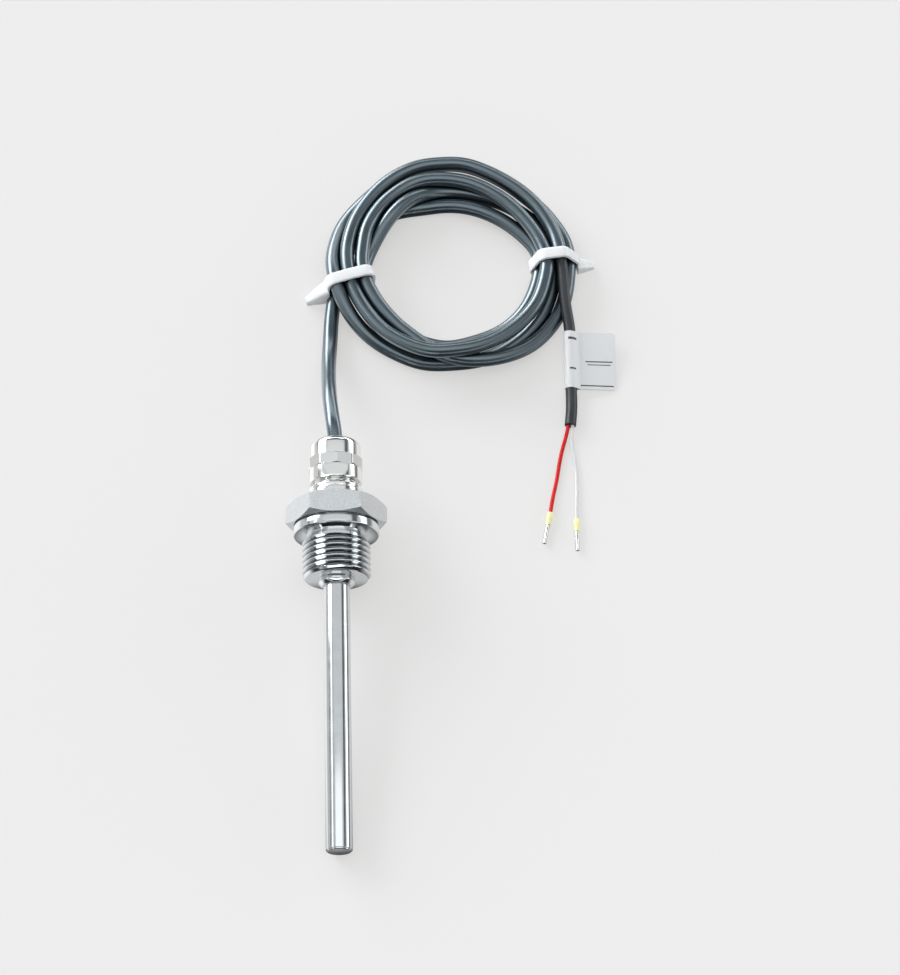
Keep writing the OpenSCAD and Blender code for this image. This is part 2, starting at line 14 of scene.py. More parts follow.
import bpy
import numpy as np
from mathutils import Matrix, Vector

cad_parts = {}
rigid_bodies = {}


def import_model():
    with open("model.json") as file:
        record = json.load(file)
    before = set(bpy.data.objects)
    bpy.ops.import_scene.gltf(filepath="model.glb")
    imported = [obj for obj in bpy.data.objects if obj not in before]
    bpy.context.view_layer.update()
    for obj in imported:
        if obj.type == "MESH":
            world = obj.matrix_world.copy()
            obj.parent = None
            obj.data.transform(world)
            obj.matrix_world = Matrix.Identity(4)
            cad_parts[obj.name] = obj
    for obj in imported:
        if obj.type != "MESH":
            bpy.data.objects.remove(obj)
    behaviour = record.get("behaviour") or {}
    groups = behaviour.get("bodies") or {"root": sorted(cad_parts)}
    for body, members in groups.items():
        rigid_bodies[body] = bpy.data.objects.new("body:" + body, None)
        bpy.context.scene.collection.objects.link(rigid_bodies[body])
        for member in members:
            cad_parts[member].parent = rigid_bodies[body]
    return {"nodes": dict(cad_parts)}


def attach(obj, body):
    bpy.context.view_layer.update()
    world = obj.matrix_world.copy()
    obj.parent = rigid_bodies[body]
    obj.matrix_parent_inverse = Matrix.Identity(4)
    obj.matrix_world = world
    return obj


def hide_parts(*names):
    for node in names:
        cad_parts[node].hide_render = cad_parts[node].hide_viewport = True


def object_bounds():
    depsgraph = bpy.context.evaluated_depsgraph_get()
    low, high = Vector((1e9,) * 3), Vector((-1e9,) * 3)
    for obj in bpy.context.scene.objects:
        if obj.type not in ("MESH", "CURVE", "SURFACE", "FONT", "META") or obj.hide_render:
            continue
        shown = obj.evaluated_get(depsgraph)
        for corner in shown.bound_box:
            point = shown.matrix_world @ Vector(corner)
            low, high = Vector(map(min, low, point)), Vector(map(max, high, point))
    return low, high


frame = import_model()
cad_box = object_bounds()
mm = 0.001
print("nodes:", len(frame["nodes"]), "box in mm:", np.round(np.array(cad_box) / mm, 1).tolist())

# %% [markdown]
# ## The camera
#
# A long lens far away keeps the tube's sides nearly parallel, as in a catalogue picture. It looks
# down at 63 degrees, almost square to the probe. Its place and its three axes are worked out from
# two angles and a distance, so nothing has to be aimed by hand.

# %% Camera
elevation, azimuth, distance = math.radians(63), math.radians(1.138), 1.2
target = np.array([35.147, 57.099, 0.0]) * mm
camera_right = np.array([math.cos(azimuth), -math.sin(azimuth), 0])
camera_back = np.array([-math.sin(azimuth) * math.cos(elevation),
                        -math.cos(azimuth) * math.cos(elevation), math.sin(elevation)])
pose = np.eye(4)
pose[:3, :3] = np.column_stack([camera_right, np.cross(camera_back, camera_right), camera_back])
pose[:3, 3] = target + distance * camera_back
camera_data = bpy.data.cameras.new("camera")
camera_data.lens, camera_data.sensor_width, camera_data.sensor_fit = 154.4, 36.0, "HORIZONTAL"
camera_data.clip_start, camera_data.clip_end = 0.05, 20.0
camera = bpy.data.objects.new("camera", camera_data)
bpy.context.scene.collection.objects.link(camera)
camera.matrix_world = Matrix(pose.tolist())
bpy.context.scene.camera = camera
print("camera at", np.round(pose[:3, 3], 3).tolist())

# %% [markdown]
# ## Surfaces from grids
#
# Nearly every piece is a grid: one direction runs along the piece, the other goes round its
# section. One helper turns such a grid of points into a closed mesh. It joins the last column to
# the first, closes each end with a fan, and keeps where each point lies on the grid in a UV map,
# so that a finish can follow the surface.

# %% Grid to mesh
def put_mesh(name, points, faces, uv=None, sharp=40):
    """A mesh object at the origin from arrays: points (n, 3), a list of face index lists, and a UV
    per face corner. Edges sharper than `sharp` degrees stay crisp, the others are shaded round."""
    mesh = bpy.data.meshes.new(name)
    mesh.from_pydata(points.reshape(-1, 3).tolist(), [], faces)
    if uv is not None:
        layer = mesh.uv_layers.new(name="surface")
        layer.data.foreach_set("uv", np.asarray(uv, dtype=np.float32).ravel())
    mesh.validate()
    mesh.shade_smooth()
    mesh.set_sharp_from_angle(angle=math.radians(sharp))
    piece = bpy.data.objects.new(name, mesh)
    bpy.context.scene.collection.objects.link(piece)
    return piece


def volume(points, faces):
    """Signed volume of a closed surface: the sum of a . (b x c) / 6 over its triangles."""
    total = 0.0
    for k in range(1, faces.shape[1] - 1):
        a, b, c = points[faces[:, 0]], points[faces[:, k]], points[faces[:, k + 1]]
        total += np.einsum("ij,ij->", a, np.cross(b, c)) / 6
    return total


def grid_piece(name, points, along, around, close_rows=False, sharp=40):
    """Joins points[i, j] to a surface: i runs along the piece and j round it, and j closes on
    itself. `along` and `around` are the UV values of the rows and of the columns (one more column
    than points, for the seam). Open ends get a fan to their middle point. All faces are turned
    round when the signed volume is negative, so that they look outwards."""
    rows, cols = points.shape[:2]
    i = np.arange(rows if close_rows else rows - 1)[:, None]
    j = np.arange(cols)[None, :]
    i2, j2 = (i + 1) % rows, (j + 1) % cols
    quads = np.stack(np.broadcast_arrays(i * cols + j, i * cols + j2, i2 * cols + j2, i2 * cols + j), -1)
    quads = quads.reshape(-1, 4)
    u, v = np.asarray(along), np.asarray(around)
    quad_uv = np.stack([np.stack(np.broadcast_arrays(u[a], v[b]), -1)
                        for a, b in ((i, j), (i, j + 1), (i + 1, j + 1), (i + 1, j))], 2).reshape(-1, 4, 2)
    every = points.reshape(-1, 3)
    fans, fan_uv = np.zeros((0, 3), int), np.zeros((0, 3, 2))
    if not close_rows:
        every = np.vstack([every, points[0].mean(0), points[-1].mean(0)])
        k, k2 = np.arange(cols), (np.arange(cols) + 1) % cols
        middle, base = rows * cols, (rows - 1) * cols
        fans = np.vstack([np.stack([np.full(cols, middle), k2, k], -1),
                          np.stack([np.full(cols, middle + 1), base + k, base + k2], -1)])
        fan_v = np.vstack([np.stack([(v[:-1] + v[1:]) / 2, v[1:], v[:-1]], -1),
                           np.stack([(v[:-1] + v[1:]) / 2, v[:-1], v[1:]], -1)])
        fan_uv = np.stack([np.repeat([u[0], u[rows - 1]], cols)[:, None] + 0 * fan_v, fan_v], -1)
    if volume(every, quads) + (volume(every, fans) if len(fans) else 0) < 0:
        quads, fans, quad_uv, fan_uv = quads[:, ::-1], fans[:, ::-1], quad_uv[:, ::-1], fan_uv[:, ::-1]
    corner = np.vstack([quad_uv.reshape(-1, 2), fan_uv.reshape(-1, 2)])
    return put_mesh(name, every, quads.tolist() + fans.tolist(), corner, sharp)


# %% [markdown]
# ## How a new piece takes its place
#
# The solids say where everything is, and a new piece stands for one or more of them. It has no
# motion of its own, so it rides on the one body.

# %% Replace and ride
def dress(piece, slot, *nodes):
    """Lets the piece replace the named nodes, if any, and ride on the body. The slot is not used."""
    if nodes:
        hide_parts(*nodes)
    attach(piece, "root")
    return piece


def corners(piece):
    """The lowest and the highest place of a mesh's own points."""
    flat = np.zeros(len(piece.data.vertices) * 3)
    piece.data.vertices.foreach_get("co", flat)
    return flat.reshape(-1, 3).min(0), flat.reshape(-1, 3).max(0)


# %% [markdown]
# ## Paths and tubes
#
# A cable's route is given by a few points that a hand could place, and a natural cubic spline
# runs through them: it is the shape a thin springy rod takes when it is pinned at those points.
# A round section is then carried along it. No part of these routes stands upright, so "sideways"
# can always be found from the direction and the vertical, with no twist to follow.

# %% Splines and tubes
def run_along(points):
    """How far each of the points is from the first one, measured from point to point."""
    return np.concatenate([[0], np.cumsum(np.linalg.norm(np.diff(points, axis=0), axis=1))])


def spline(points, step):
    """Natural cubic spline through the points, by chord length, sampled about every `step`. The
    second derivatives solve one linear system, with none at the two ends."""
    p = np.asarray(points, float)
    s = run_along(p)
    h = np.diff(s)[:, None]
    n = len(p)
    a = np.eye(n)
    i = np.arange(1, n - 1)
    a[i, i - 1], a[i, i], a[i, i + 1] = h[:-1, 0] / 6, (h[:-1, 0] + h[1:, 0]) / 3, h[1:, 0] / 6
    b = np.zeros_like(p)
    b[1:-1] = (p[2:] - p[1:-1]) / h[1:] - (p[1:-1] - p[:-2]) / h[:-1]
    m = np.linalg.solve(a, b)
    t = np.linspace(0, s[-1], max(8, int(s[-1] / step)))
    k = np.clip(np.searchsorted(s, t, side="right") - 1, 0, n - 2)
    w, hk = (t - s[k])[:, None], h[k]
    x = hk - w
    return ((m[k] * x ** 3 + m[k + 1] * w ** 3) / (6 * hk)
            + (p[k] / hk - m[k] * hk / 6) * x + (p[k + 1] / hk - m[k + 1] * hk / 6) * w)


def directions(path):
    """Unit vectors along the path, sideways (level), and upwards, at each of its points."""
    unit = lambda v: v / np.linalg.norm(v, axis=1)[:, None]
    along = unit(np.gradient(path, axis=0))
    side = unit(np.cross(along, [0, 0, 1.0]))
    return along, side, np.cross(side, along)


def length_of(path):
    """The sum of the steps from point to point, in metres."""
    return float(run_along(path)[-1])


def tube(name, path, radius, sides=28, edge=0.15 * mm):
    """A round section carried along the path: point(i, a) = path + radius (cos a side - sin a up).
    Three smaller rings at each end turn its edge round before the flat end face."""
    along, side, up = directions(path)
    curve = np.radians([90, 60, 30])
    small, back = radius - edge + edge * np.cos(curve), edge * (1 - np.sin(curve))
    centre = np.vstack([path[0] + along[0] * back[:, None], path[0] + along[0] * edge, path[1:-1],
                        path[-1] - along[-1] * edge, path[-1] - along[-1] * back[::-1, None]])
    size = np.concatenate([small, np.full(len(path), radius), small[::-1]])
    keep = np.clip(np.arange(len(centre)) - 3, 0, len(path) - 1)
    a = np.linspace(0, 2 * math.pi, sides, endpoint=False)[None, :, None]
    ring = np.cos(a) * side[keep][:, None] - np.sin(a) * up[keep][:, None]
    points = centre[:, None] + size[:, None, None] * ring
    return grid_piece(name, points, run_along(centre), np.arange(sides + 1) / sides * 2 * math.pi * radius)


# %% [markdown]
# ## The probe's own axis
#
# The probe lies on its tip and on one flat of its hexagon, so its axis rises a little towards the
# cable. Heights on it are counted from the sealing face. The cable's route is counted from the
# point of the floor under the gland's mouth, as in the solids.

# %% Axis of the probe
tilt = math.radians(5.28796)
seal = np.array([0, 34.268, 13.1438]) * mm
probe_dir = np.array([0, math.cos(tilt), math.sin(tilt)])
floor_mouth = np.array([0, 65.136, 0]) * mm


def on_probe(height_mm):
    """A place on the probe's axis, that far above the sealing face."""
    return seal + height_mm * mm * probe_dir


def on_floor(points_mm):
    """Places counted from the floor under the gland's mouth."""
    return np.asarray(points_mm, float) * mm + floor_mouth


# %% [markdown]
# ## The cable
#
# The cable leaves the gland, sinks to the floor, passes under the left tie and goes round four and
# a half times, clockwise seen from above. A coil wound by hand isn't a neat screw: the turns swap
# places, and lie in two or three layers. So `passes` gives, turn by turn, what a hand would do. Each
# entry is (sixteenths of a turn from the left, distance from the coil's middle in mm, height in mm).
# `lead` gives the way there, in mm from the floor under the gland's mouth. A spline joins them all.

# %% Route of the cable
cable_d, sheath_d, core_d = 4.6 * mm, 3.6 * mm, 1.2 * mm
coil_middle = np.array([37, 68])
lead = [(-0.4, 4.6, 16.8), (-1.1, 10.4, 15.9), (-1.8, 18.4, 13.2), (-2.1, 27, 8.6), (-2.1, 35.5, 4.6),
        (-1.7, 43.5, 2.6), (-1.2, 52, 2.4), (-0.5, 58, 2.8), (0.1, 63.3, 3.3), (1.0, 69, 3.0)]
passes = [
    [(0.66, 33.9, 2.4), (1.28, 31.9, 2.3), (1.93, 30.3, 2.3), (2.66, 28.0, 2.3), (3.43, 26.2, 2.5),
     (4.2, 25.0, 3.0), (5, 24.3, 3.5), (6, 24.9, 3.5), (6.9, 26.9, 3.5), (7.5, 28.6, 3.4), (7.85, 28.6, 3.4),
     (8.54, 27.9, 3.2), (9.29, 27.6, 3), (9.93, 27.4, 2.6), (10.67, 27, 2.4), (11.48, 27, 2.4),
     (12.08, 27.8, 2.4), (12.66, 27.9, 2.4), (13.25, 27.6, 2.4), (14, 27.6, 2.8), (14.8, 28.2, 3.2),
     (15.6, 28.4, 3.4)],
    [(0.3, 27.8, 3.6), (0.85, 27.0, 4.4), (1.4, 26.6, 5.8), (2.0, 26.6, 6.8), (2.6, 27.3, 6.2),
     (3.2, 28.3, 4.2), (3.74, 28.9, 2.7), (4.5, 29.2, 2.4), (5.5, 30.2, 2.4), (6.5, 32, 2.8), (7.3, 33, 3.4),
     (7.85, 33, 3.4), (8.5, 33.0, 3.2), (9.3, 33.3, 2.7), (10, 33.6, 2.4), (10.7, 33.7, 2.3),
     (11.4, 33.5, 2.3), (12.08, 33.4, 2.3), (12.67, 34.2, 2.3), (13.29, 34.35, 2.4), (13.88, 35, 3),
     (14.49, 36.0, 4.6), (15.01, 36.6, 6.5), (15.5, 37, 7.8)],
    [(0.13, 37.6, 6.5), (0.63, 37.8, 4.8), (1.19, 38.2, 3.0), (2.0, 38.0, 2.3), (2.5, 38.6, 2.3),
     (2.96, 39.7, 2.3), (3.4, 40.2, 2.3), (3.86, 40.2, 2.3), (4.27, 40.0, 2.3), (4.76, 38.8, 2.3),
     (5.32, 37.5, 2.3), (5.87, 36.7, 2.4), (6.37, 36.7, 2.8), (6.84, 36.9, 3.2), (7.28, 37.5, 3.4),
     (7.7, 37.5, 3.4), (8.3, 37.0, 3.3), (9.04, 37.2, 2.8), (9.6, 37.0, 3.0), (10.1, 36.8, 3.6),
     (10.6, 36.4, 4.8), (11.05, 35.9, 6.0), (11.55, 34.9, 6.8), (12.05, 33.2, 6.8), (12.6, 30.6, 5.6),
     (13.1, 28.6, 5.5), (13.65, 27.6, 6), (14.29, 27.2, 7), (14.94, 27.3, 7.6), (15.48, 27.8, 7.9)],
    [(0.09, 28.3, 7.9), (0.49, 28.4, 7.8), (1.1, 29.3, 7.4), (1.6, 30.2, 7), (2.05, 30.9, 6.7),
     (2.53, 31.4, 6.5), (3.02, 31.8, 6.4), (3.76, 31.5, 6.4), (4.56, 30.7, 6.5), (5.19, 29.7, 6.6),
     (5.74, 29.1, 6.8), (6.75, 28.9, 7.2), (7.48, 29.8, 7.5), (8.01, 30.5, 7.7), (8.57, 30.4, 7.8),
     (9.22, 30.7, 8), (9.88, 30.9, 8.4), (10.6, 31.4, 9), (11.33, 32.5, 9.8), (12.08, 33.6, 10.3),
     (12.55, 33.8, 10), (13.06, 33.3, 9.5), (13.81, 32.7, 8.8), (14.63, 32.0, 8.2), (15.41, 32.4, 8.2)],
    [(0.0, 32.9, 8.3), (0.42, 33.4, 8), (0.88, 33.9, 7.5), (1.35, 34.6, 7), (1.88, 35.5, 6.6),
     (2.4, 36.75, 6.4), (2.9, 37.7, 6.4), (3.37, 38.2, 6.4), (3.85, 38.0, 6.4), (4.29, 37.9, 6.4),
     (4.81, 36.8, 6.4), (5.39, 35.7, 6.6), (5.92, 35.2, 6.8), (6.4, 34.9, 7), (6.86, 34.6, 7.2),
     (7.3, 34.5, 7.5), (7.68, 34.4, 7.7), (7.9, 34.5, 7.6)],
]
turn = np.array([(t + 16 * k, r, z) for k, one in enumerate(passes) for t, r, z in one])
angle = math.pi - turn[:, 0] * math.pi / 8
turns = np.column_stack([coil_middle[0] + turn[:, 1] * np.cos(angle),
                         coil_middle[1] + turn[:, 1] * np.sin(angle), turn[:, 2]])
cable_knots = np.vstack([on_probe(8.6), on_probe(20), on_probe(31.5), on_floor(lead), on_floor(turns)])
cable_path = spline(cable_knots, 1.5 * mm)
print("cable before the turns settle:", round(length_of(cable_path), 3), "m,", len(cable_path), "points")


# %% [markdown]
# ## The turns settle
#
# Turns drawn through a table still cut into each other by a millimetre here and there. A short
# relaxation does what the stiffness of real cable does: two strands that are too close share the
# push, and the push is spread along each of them. The first points stay, because the gland holds
# them.

# %% Settle the turns
def settle(path, width, rounds=160):
    """Moves points of different turns apart until they are `width` from each other. Each round
    pushes every close pair by a quarter of what it lacks, evens the moves out along the cable, so
    that it bends and doesn't kink, and lifts what is under the floor."""
    start, p = path, path.copy()
    gap = np.linalg.norm(p[:, None] - p[None], axis=2)
    neighbours, held_by_gland = 12, 24
    a, b = np.nonzero(np.triu(gap < 1.6 * width, neighbours))
    share = np.sqrt(np.maximum(np.bincount(np.r_[a, b], minlength=len(p)), 1))[:, None] / 2
    for _ in range(rounds):
        v = p[b] - p[a]
        d = np.linalg.norm(v, axis=1)[:, None]
        push = v / d * np.maximum(width - d, 0) / 4
        move = np.zeros_like(p)
        np.add.at(move, a, -push)
        np.add.at(move, b, push)
        move = p + move / share - start
        move[1:-1] = move[1:-1] / 2 + (move[:-2] + move[2:]) / 4
        move[:held_by_gland] = 0
        p = start + move
        p[:, 2] = np.maximum(p[:, 2], width / 2)
    d = np.linalg.norm(p[b] - p[a], axis=1)
    print("closest turns, largest move, highest point in mm:",
          np.round(np.array([d.min(), np.abs(p - start).max(), p[:, 2].max()]) / mm, 2).tolist())
    return p


cable_path = settle(cable_path, cable_d)
cable = dress(tube("cable", cable_path, cable_d / 2, 32),
              "cable_jacket", "cable_entry", "cable_lead", "cable_coil")
print("cable:", round(length_of(cable_path), 3), "m")

# %% [markdown]
# ## The stripped end
#
# Under the right tie the jacket ends. The thinner inner sheath comes out of it, runs down to the
# floor through the label, and ends in its two cores. Each core bends its own way to its ferrule.

# %% Sheath and cores
jacket_end = cable_path[-1]
jacket_dir = (jacket_end - cable_path[-3]) / np.linalg.norm(jacket_end - cable_path[-3])
sheath_route = [(72.55, 59.5, 6.5), (73.4, 50, 5.4), (73.9, 46.2, 4.9), (73.9, 35.4, 3.55), (73.9, 24.6, 2.2),
                (73.8, 18, 1.9), (73.2, 12, 1.8)]
sheath_path = spline(np.vstack([jacket_end - 4 * mm * jacket_dir, jacket_end + 1 * mm * jacket_dir,
                                on_floor(sheath_route)]), 1.0 * mm)
sheath = dress(tube("inner_sheath", sheath_path, sheath_d / 2, 28), "inner_sheath", "cable_sheath")
# for each core: the ferrule's place and heading in degrees, the core's side of the sheath, its route
core_ends = {"red": ((66, -18, 1), 11.5, -1, [(71.8, 8.8, 1), (70.5, 4.2, 0.7), (69.3, -1.2, 0.6),
                                              (68.3, -6.8, 0.6), (67, -12.6, 0.8)]),
             "white": ((74.1, -20.4, 1), 0.5, 1, [(73.5, 8, 1), (73.8, 3.4, 0.7), (74.4, -2, 0.6),
                                                  (74.6, -8, 0.6), (74.3, -14.4, 0.8)])}
core_path, core_dir = {}, {}
for colour, (place, heading, side_of, route) in core_ends.items():
    core_dir[colour] = np.array([-math.sin(math.radians(heading)), -math.cos(math.radians(heading)), 0])
    start = on_floor([73.2 + side_of * 0.7, 12, 1.8])
    core_path[colour] = spline(np.vstack([start + [0, 2.5 * mm, 0], start, on_floor(route), on_floor(place),
                                          on_floor(place) + 2.8 * mm * core_dir[colour]]), 0.8 * mm)
    core_path[colour][:, 2] = np.maximum(core_path[colour][:, 2], core_d / 2 + 0.01 * mm)
    print(colour, "core:", round(length_of(core_path[colour]) / mm, 1), "mm")
cores = {colour: dress(tube("core_wire_" + colour, core_path[colour], core_d / 2, 20, 0.05 * mm),
                       colour + "_core", "core_" + colour) for colour in core_ends}

# %% [markdown]
# ## Turned pieces
#
# Metal parts like these come off a lathe, so each is a profile turned round an axis. The profile
# is a closed loop of points (height, radius). Real edges are never quite sharp, and a thin rounded
# edge is what catches the light, so each corner of a profile is eased first.

# %% Lathe
def eased(profile, size=0.12 * mm, closed=True):
    """Replaces each corner P by four points of the parabola from A to B, which lie `size` before and
    after P on its two sides: (1-t)^2 A + 2t(1-t) P + t^2 B."""
    p = np.asarray(profile, float)
    before, after = np.roll(p, 1, 0) - p, np.roll(p, -1, 0) - p
    lb, la = np.linalg.norm(before, axis=1)[:, None], np.linalg.norm(after, axis=1)[:, None]
    a, b = p + before * np.minimum(size / lb, 0.45), p + after * np.minimum(size / la, 0.45)
    t = np.array([0, 1, 2, 3])[None, :, None] / 3
    round_ = (1 - t) ** 2 * a[:, None] + 2 * t * (1 - t) * p[:, None] + t ** 2 * b[:, None]
    if not closed:
        round_[0], round_[-1] = p[0], p[-1]
    return round_.reshape(-1, 2)


def turned(name, profile, origin=seal, axis=probe_dir, cols=128, shape=None, closed=True, sharp=40):
    """Points origin + height axis + radius (cos t side - sin t up), for each (height, radius) of the
    profile and each angle t. `shape(t, height, radius)` may change the radius, as for a thread."""
    side = np.cross(axis, [0, 0, 1.0])
    side /= np.linalg.norm(side)
    up = np.cross(side, axis)
    t = np.linspace(0, 2 * math.pi, cols, endpoint=False)[None, :]
    s, r = np.asarray(profile).T[:, :, None]
    r = np.broadcast_to(r, (len(s), cols)) if shape is None else shape(t, s, r)
    ring = np.cos(t)[..., None] * side - np.sin(t)[..., None] * up
    points = origin + s[..., None] * axis + r[..., None] * ring
    run = run_along(profile)
    if closed:
        run = np.append(run, run[-1] + 1 * mm)
    return grid_piece(name, points, run, np.arange(cols + 1) / cols, close_rows=closed, sharp=sharp)


# %% [markdown]
# ## The screw-in body
#
# It is turned and milled from hexagon bar. The pipe thread is a true helix here: a crest moves one
# pitch along the axis for each turn. Its 55 degree flanks and rounded crests come from one wave of
# the depth. The hexagon is the same surface: round the axis its radius is that of a flat, 1 / cos
# of the angle from the flat's middle, and a cone cuts its corners, which leaves the curved
# edges that a chamfered nut has.
#
# Rows of the profile whose radius is `BY_THREAD`, `BY_HEXAGON` or `BY_BAND` get it from a formula.

# %% Screw-in body
thread_r, thread_pitch, thread_depth, neck_h, neck_r = 20.955 / 2 * mm, 1.814 * mm, 1.162 * mm, 2.1 * mm, 9.1 * mm
thread_end, hex_z, hex_top, hex_flat = -14 * mm, 3.3 * mm, 10.5 * mm, 13.5 * mm
BY_THREAD, BY_HEXAGON, BY_BAND = 1, 2, 1    # the nut with the band has no thread, so 1 serves twice


def thread_wave(x):
    """Depth below the crest at the distance x from the crest's middle: an arc of 0.137 pitch at
    the crest, a straight flank of 27.5 degrees, and the same arc turned over at the root."""
    round_r, lean = 0.13733 * thread_pitch, math.radians(27.5)
    x = np.minimum(x, thread_pitch - x)
    end_x, end_y = round_r * math.cos(lean), round_r * (1 - math.sin(lean))
    crest_arc = round_r - np.sqrt(np.maximum(round_r ** 2 - np.minimum(x, end_x) ** 2, 0))
    flank_line = end_y + (x - end_x) / math.tan(lean)
    y = thread_pitch / 2 - x
    root_arc = thread_depth - (round_r - np.sqrt(np.maximum(round_r ** 2 - np.minimum(y, end_x) ** 2, 0)))
    return np.where(x < end_x, crest_arc, np.where(y < end_x, root_arc, flank_line))


def body_radius(t, s, r):
    """Thread: crest radius less the depth of the wave, which moves up one pitch per turn; cones
    limit it at both ends. Hexagon: the least of the flat's radius and of the two chamfer cones."""
    depth = thread_wave((s - t / (2 * math.pi) * thread_pitch) % thread_pitch)
    screw = np.minimum(thread_r - depth, thread_r - 1 * mm + (s - thread_end))
    screw = np.minimum(screw, neck_r + 2.2 * np.maximum(-neck_h - s, 0))
    flat = hex_flat / np.cos(t % (math.pi / 3) - math.pi / 6)
    cone = hex_flat - 0.1 * mm + np.minimum(s - hex_z, hex_top - s) / math.tan(math.radians(30))
    nut = np.minimum(flat, cone)
    return np.where(r == BY_THREAD, screw, np.where(r == BY_HEXAGON, nut, r + 0 * t))


rise = np.linspace(0, 1.3, 14) * mm
rows = [(thread_end, 5.0 * mm), (thread_end, 9.35 * mm)]
rows += [(s, BY_THREAD) for s in np.arange(thread_end, -neck_h - 0.02 * mm, 0.075 * mm)]
groove_r = 12.5 * mm
rows += eased(np.array([(-neck_h, neck_r), (0, neck_r), (0, 12.9 * mm), (0.3 * mm, 13.2 * mm),
                        (2.5 * mm, 13.2 * mm), (2.8 * mm, 12.9 * mm), (2.8 * mm, groove_r), (hex_z, groove_r),
                        (hex_z, 13.3 * mm)]), 0.15 * mm, closed=False).tolist()
rows += [(hex_z + s, BY_HEXAGON) for s in rise] + [(hex_top - s, BY_HEXAGON) for s in rise[::-1]]
rows += [(hex_top, 13.3 * mm), (hex_top, 6.0 * mm), (3.1 * mm, 6.0 * mm), (3.1 * mm, 4.4 * mm),
         (-4 * mm, 4.4 * mm), (-4 * mm, 5.0 * mm)]
rows = np.array(rows)
body_cols = 288
screw_in_body = dress(turned("screw_in_body_turned", rows, cols=body_cols, shape=body_radius, sharp=28),
                      "turned_steel", "screw_in_body")
# the hexagon's faces get the second of two materials
milled = (rows[:, 1] == BY_HEXAGON)[:, None] & np.ones((1, body_cols), bool)
# how deep each point lies: 1 at a thread's root and in the groove, which get painted shade
at_angle = np.linspace(0, 1, body_cols, endpoint=False)[None, :]
deep = thread_wave((rows[:, :1] - at_angle * thread_pitch) % thread_pitch) / thread_depth
in_groove = (np.abs(rows[:, 1:] - groove_r) < 0.25 * mm) * 1.0 + 0 * at_angle
hollow = screw_in_body.data.attributes.new("hollow", "FLOAT", "POINT")
hollow.data.foreach_set("value", np.where(rows[:, 1:] == BY_THREAD, deep, in_groove).ravel())
for _ in range(2):
    screw_in_body.data.materials.append(None)
screw_in_body.data.polygons.foreach_set("material_index", milled.astype(np.int32).ravel())
print("thread turns:", round((-neck_h - thread_end) / thread_pitch, 1), "points:", rows.shape[0] * body_cols)

# %% [markdown]
# ## Tube, bush and tip
#
# The tube is drawn, slipped into the bush and welded there. The bush is turned, with a
# step that centres it in the body. A turned cap closes the tube's end, and its face is very slightly
# domed.

# %% Tube, bush and tip
weld_bush = dress(turned("weld_bush_turned", eased(np.array([
    (-16.3, 3.8), (-16.3, 4.5), (-15.8, 5.05), (-15.3, 5.55), (-14, 5.55), (-14, 5), (-4, 5), (-4, 3.8)]) * mm)),
    "turned_steel", "weld_bush")
probe_tube = dress(turned("probe_tube_drawn", eased(np.array([
    (-99.4, 3.25), (-99.4, 4), (-16.3, 4), (-16.3, 3.8), (1.5, 3.8), (1.5, 3.25)]) * mm, 0.2 * mm)),
    "polished_tube", "probe_tube")
dome = np.linspace(0, 3.5, 8)
tip_cap = dress(turned("tip_cap_turned", np.vstack([
    np.column_stack([-100 + 0.25 * (dome / 3.5) ** 2, dome]),
    [(-99.66, 3.66), (-99.5, 3.7), (-99.4, 3.7), (-99.4, 3.25), (-97.8, 3.25)]]) * mm, closed=False),
    "polished_tube", "tip_cap")
print("tip at", np.round(on_probe(-100) / mm, 1).tolist(), "mm")

# %% [markdown]
# ## The cable gland
#
# The gland is nickel-plated brass: a flange on a flat gasket, the thread for the cap nut, and the
# cap nut with its ten-sided wrench band under a domed end. The band's sides are again 1 / cos of the
# angle from the middle of a side.

# %% Gland
gasket = dress(turned("gasket_ring", eased(np.array([(10.5, 6), (10.5, 7.6), (11.5, 7.6), (11.5, 6)]) * mm)),
               "black_rubber", "gland_gasket")


def nut_thread(t, s, r):
    """Fine thread of 1 mm pitch between the flange and the end of the gland's body."""
    wave = np.abs((s / mm - t / (2 * math.pi)) % 1 - 0.5) * 2
    return np.where(r == BY_THREAD, 6.5 * mm - 0.55 * mm * np.clip(wave * 1.5 - 0.25, 0, 1), r + 0 * t)


flange = eased(np.array([(3.5, 6), (11.5, 6), (11.5, 8.05), (11.75, 8.3), (13.85, 8.3), (14.1, 8.05), (14.35, 8.3),
                         (15.05, 8.3), (15.3, 8.05), (15.3, 6.2)]) * mm, 0.1 * mm, closed=False)
gland_rows = np.vstack([flange, [(s * mm, BY_THREAD) for s in np.arange(15.4, 21.8, 0.1)],
                        np.array([(21.9, 6), (21.9, 4.9), (17.3, 4.9), (17.3, 2.6), (3.5, 2.6)]) * mm])
gland_body = dress(turned("gland_body_turned", gland_rows, shape=nut_thread, sharp=30),
                   "nickel_plate", "gland_body")


def band_radius(t, s, r):
    """Ten flats between two cones, where the row asks for them."""
    flat = 8.2 * mm / np.cos((t - math.radians(21)) % (math.pi / 5) - math.pi / 10)
    cone = 8.2 * mm + np.minimum(s - band_from * mm, band_to * mm - s) * 1.4
    return np.where(r == BY_BAND, np.minimum(flat, cone), r + 0 * t)


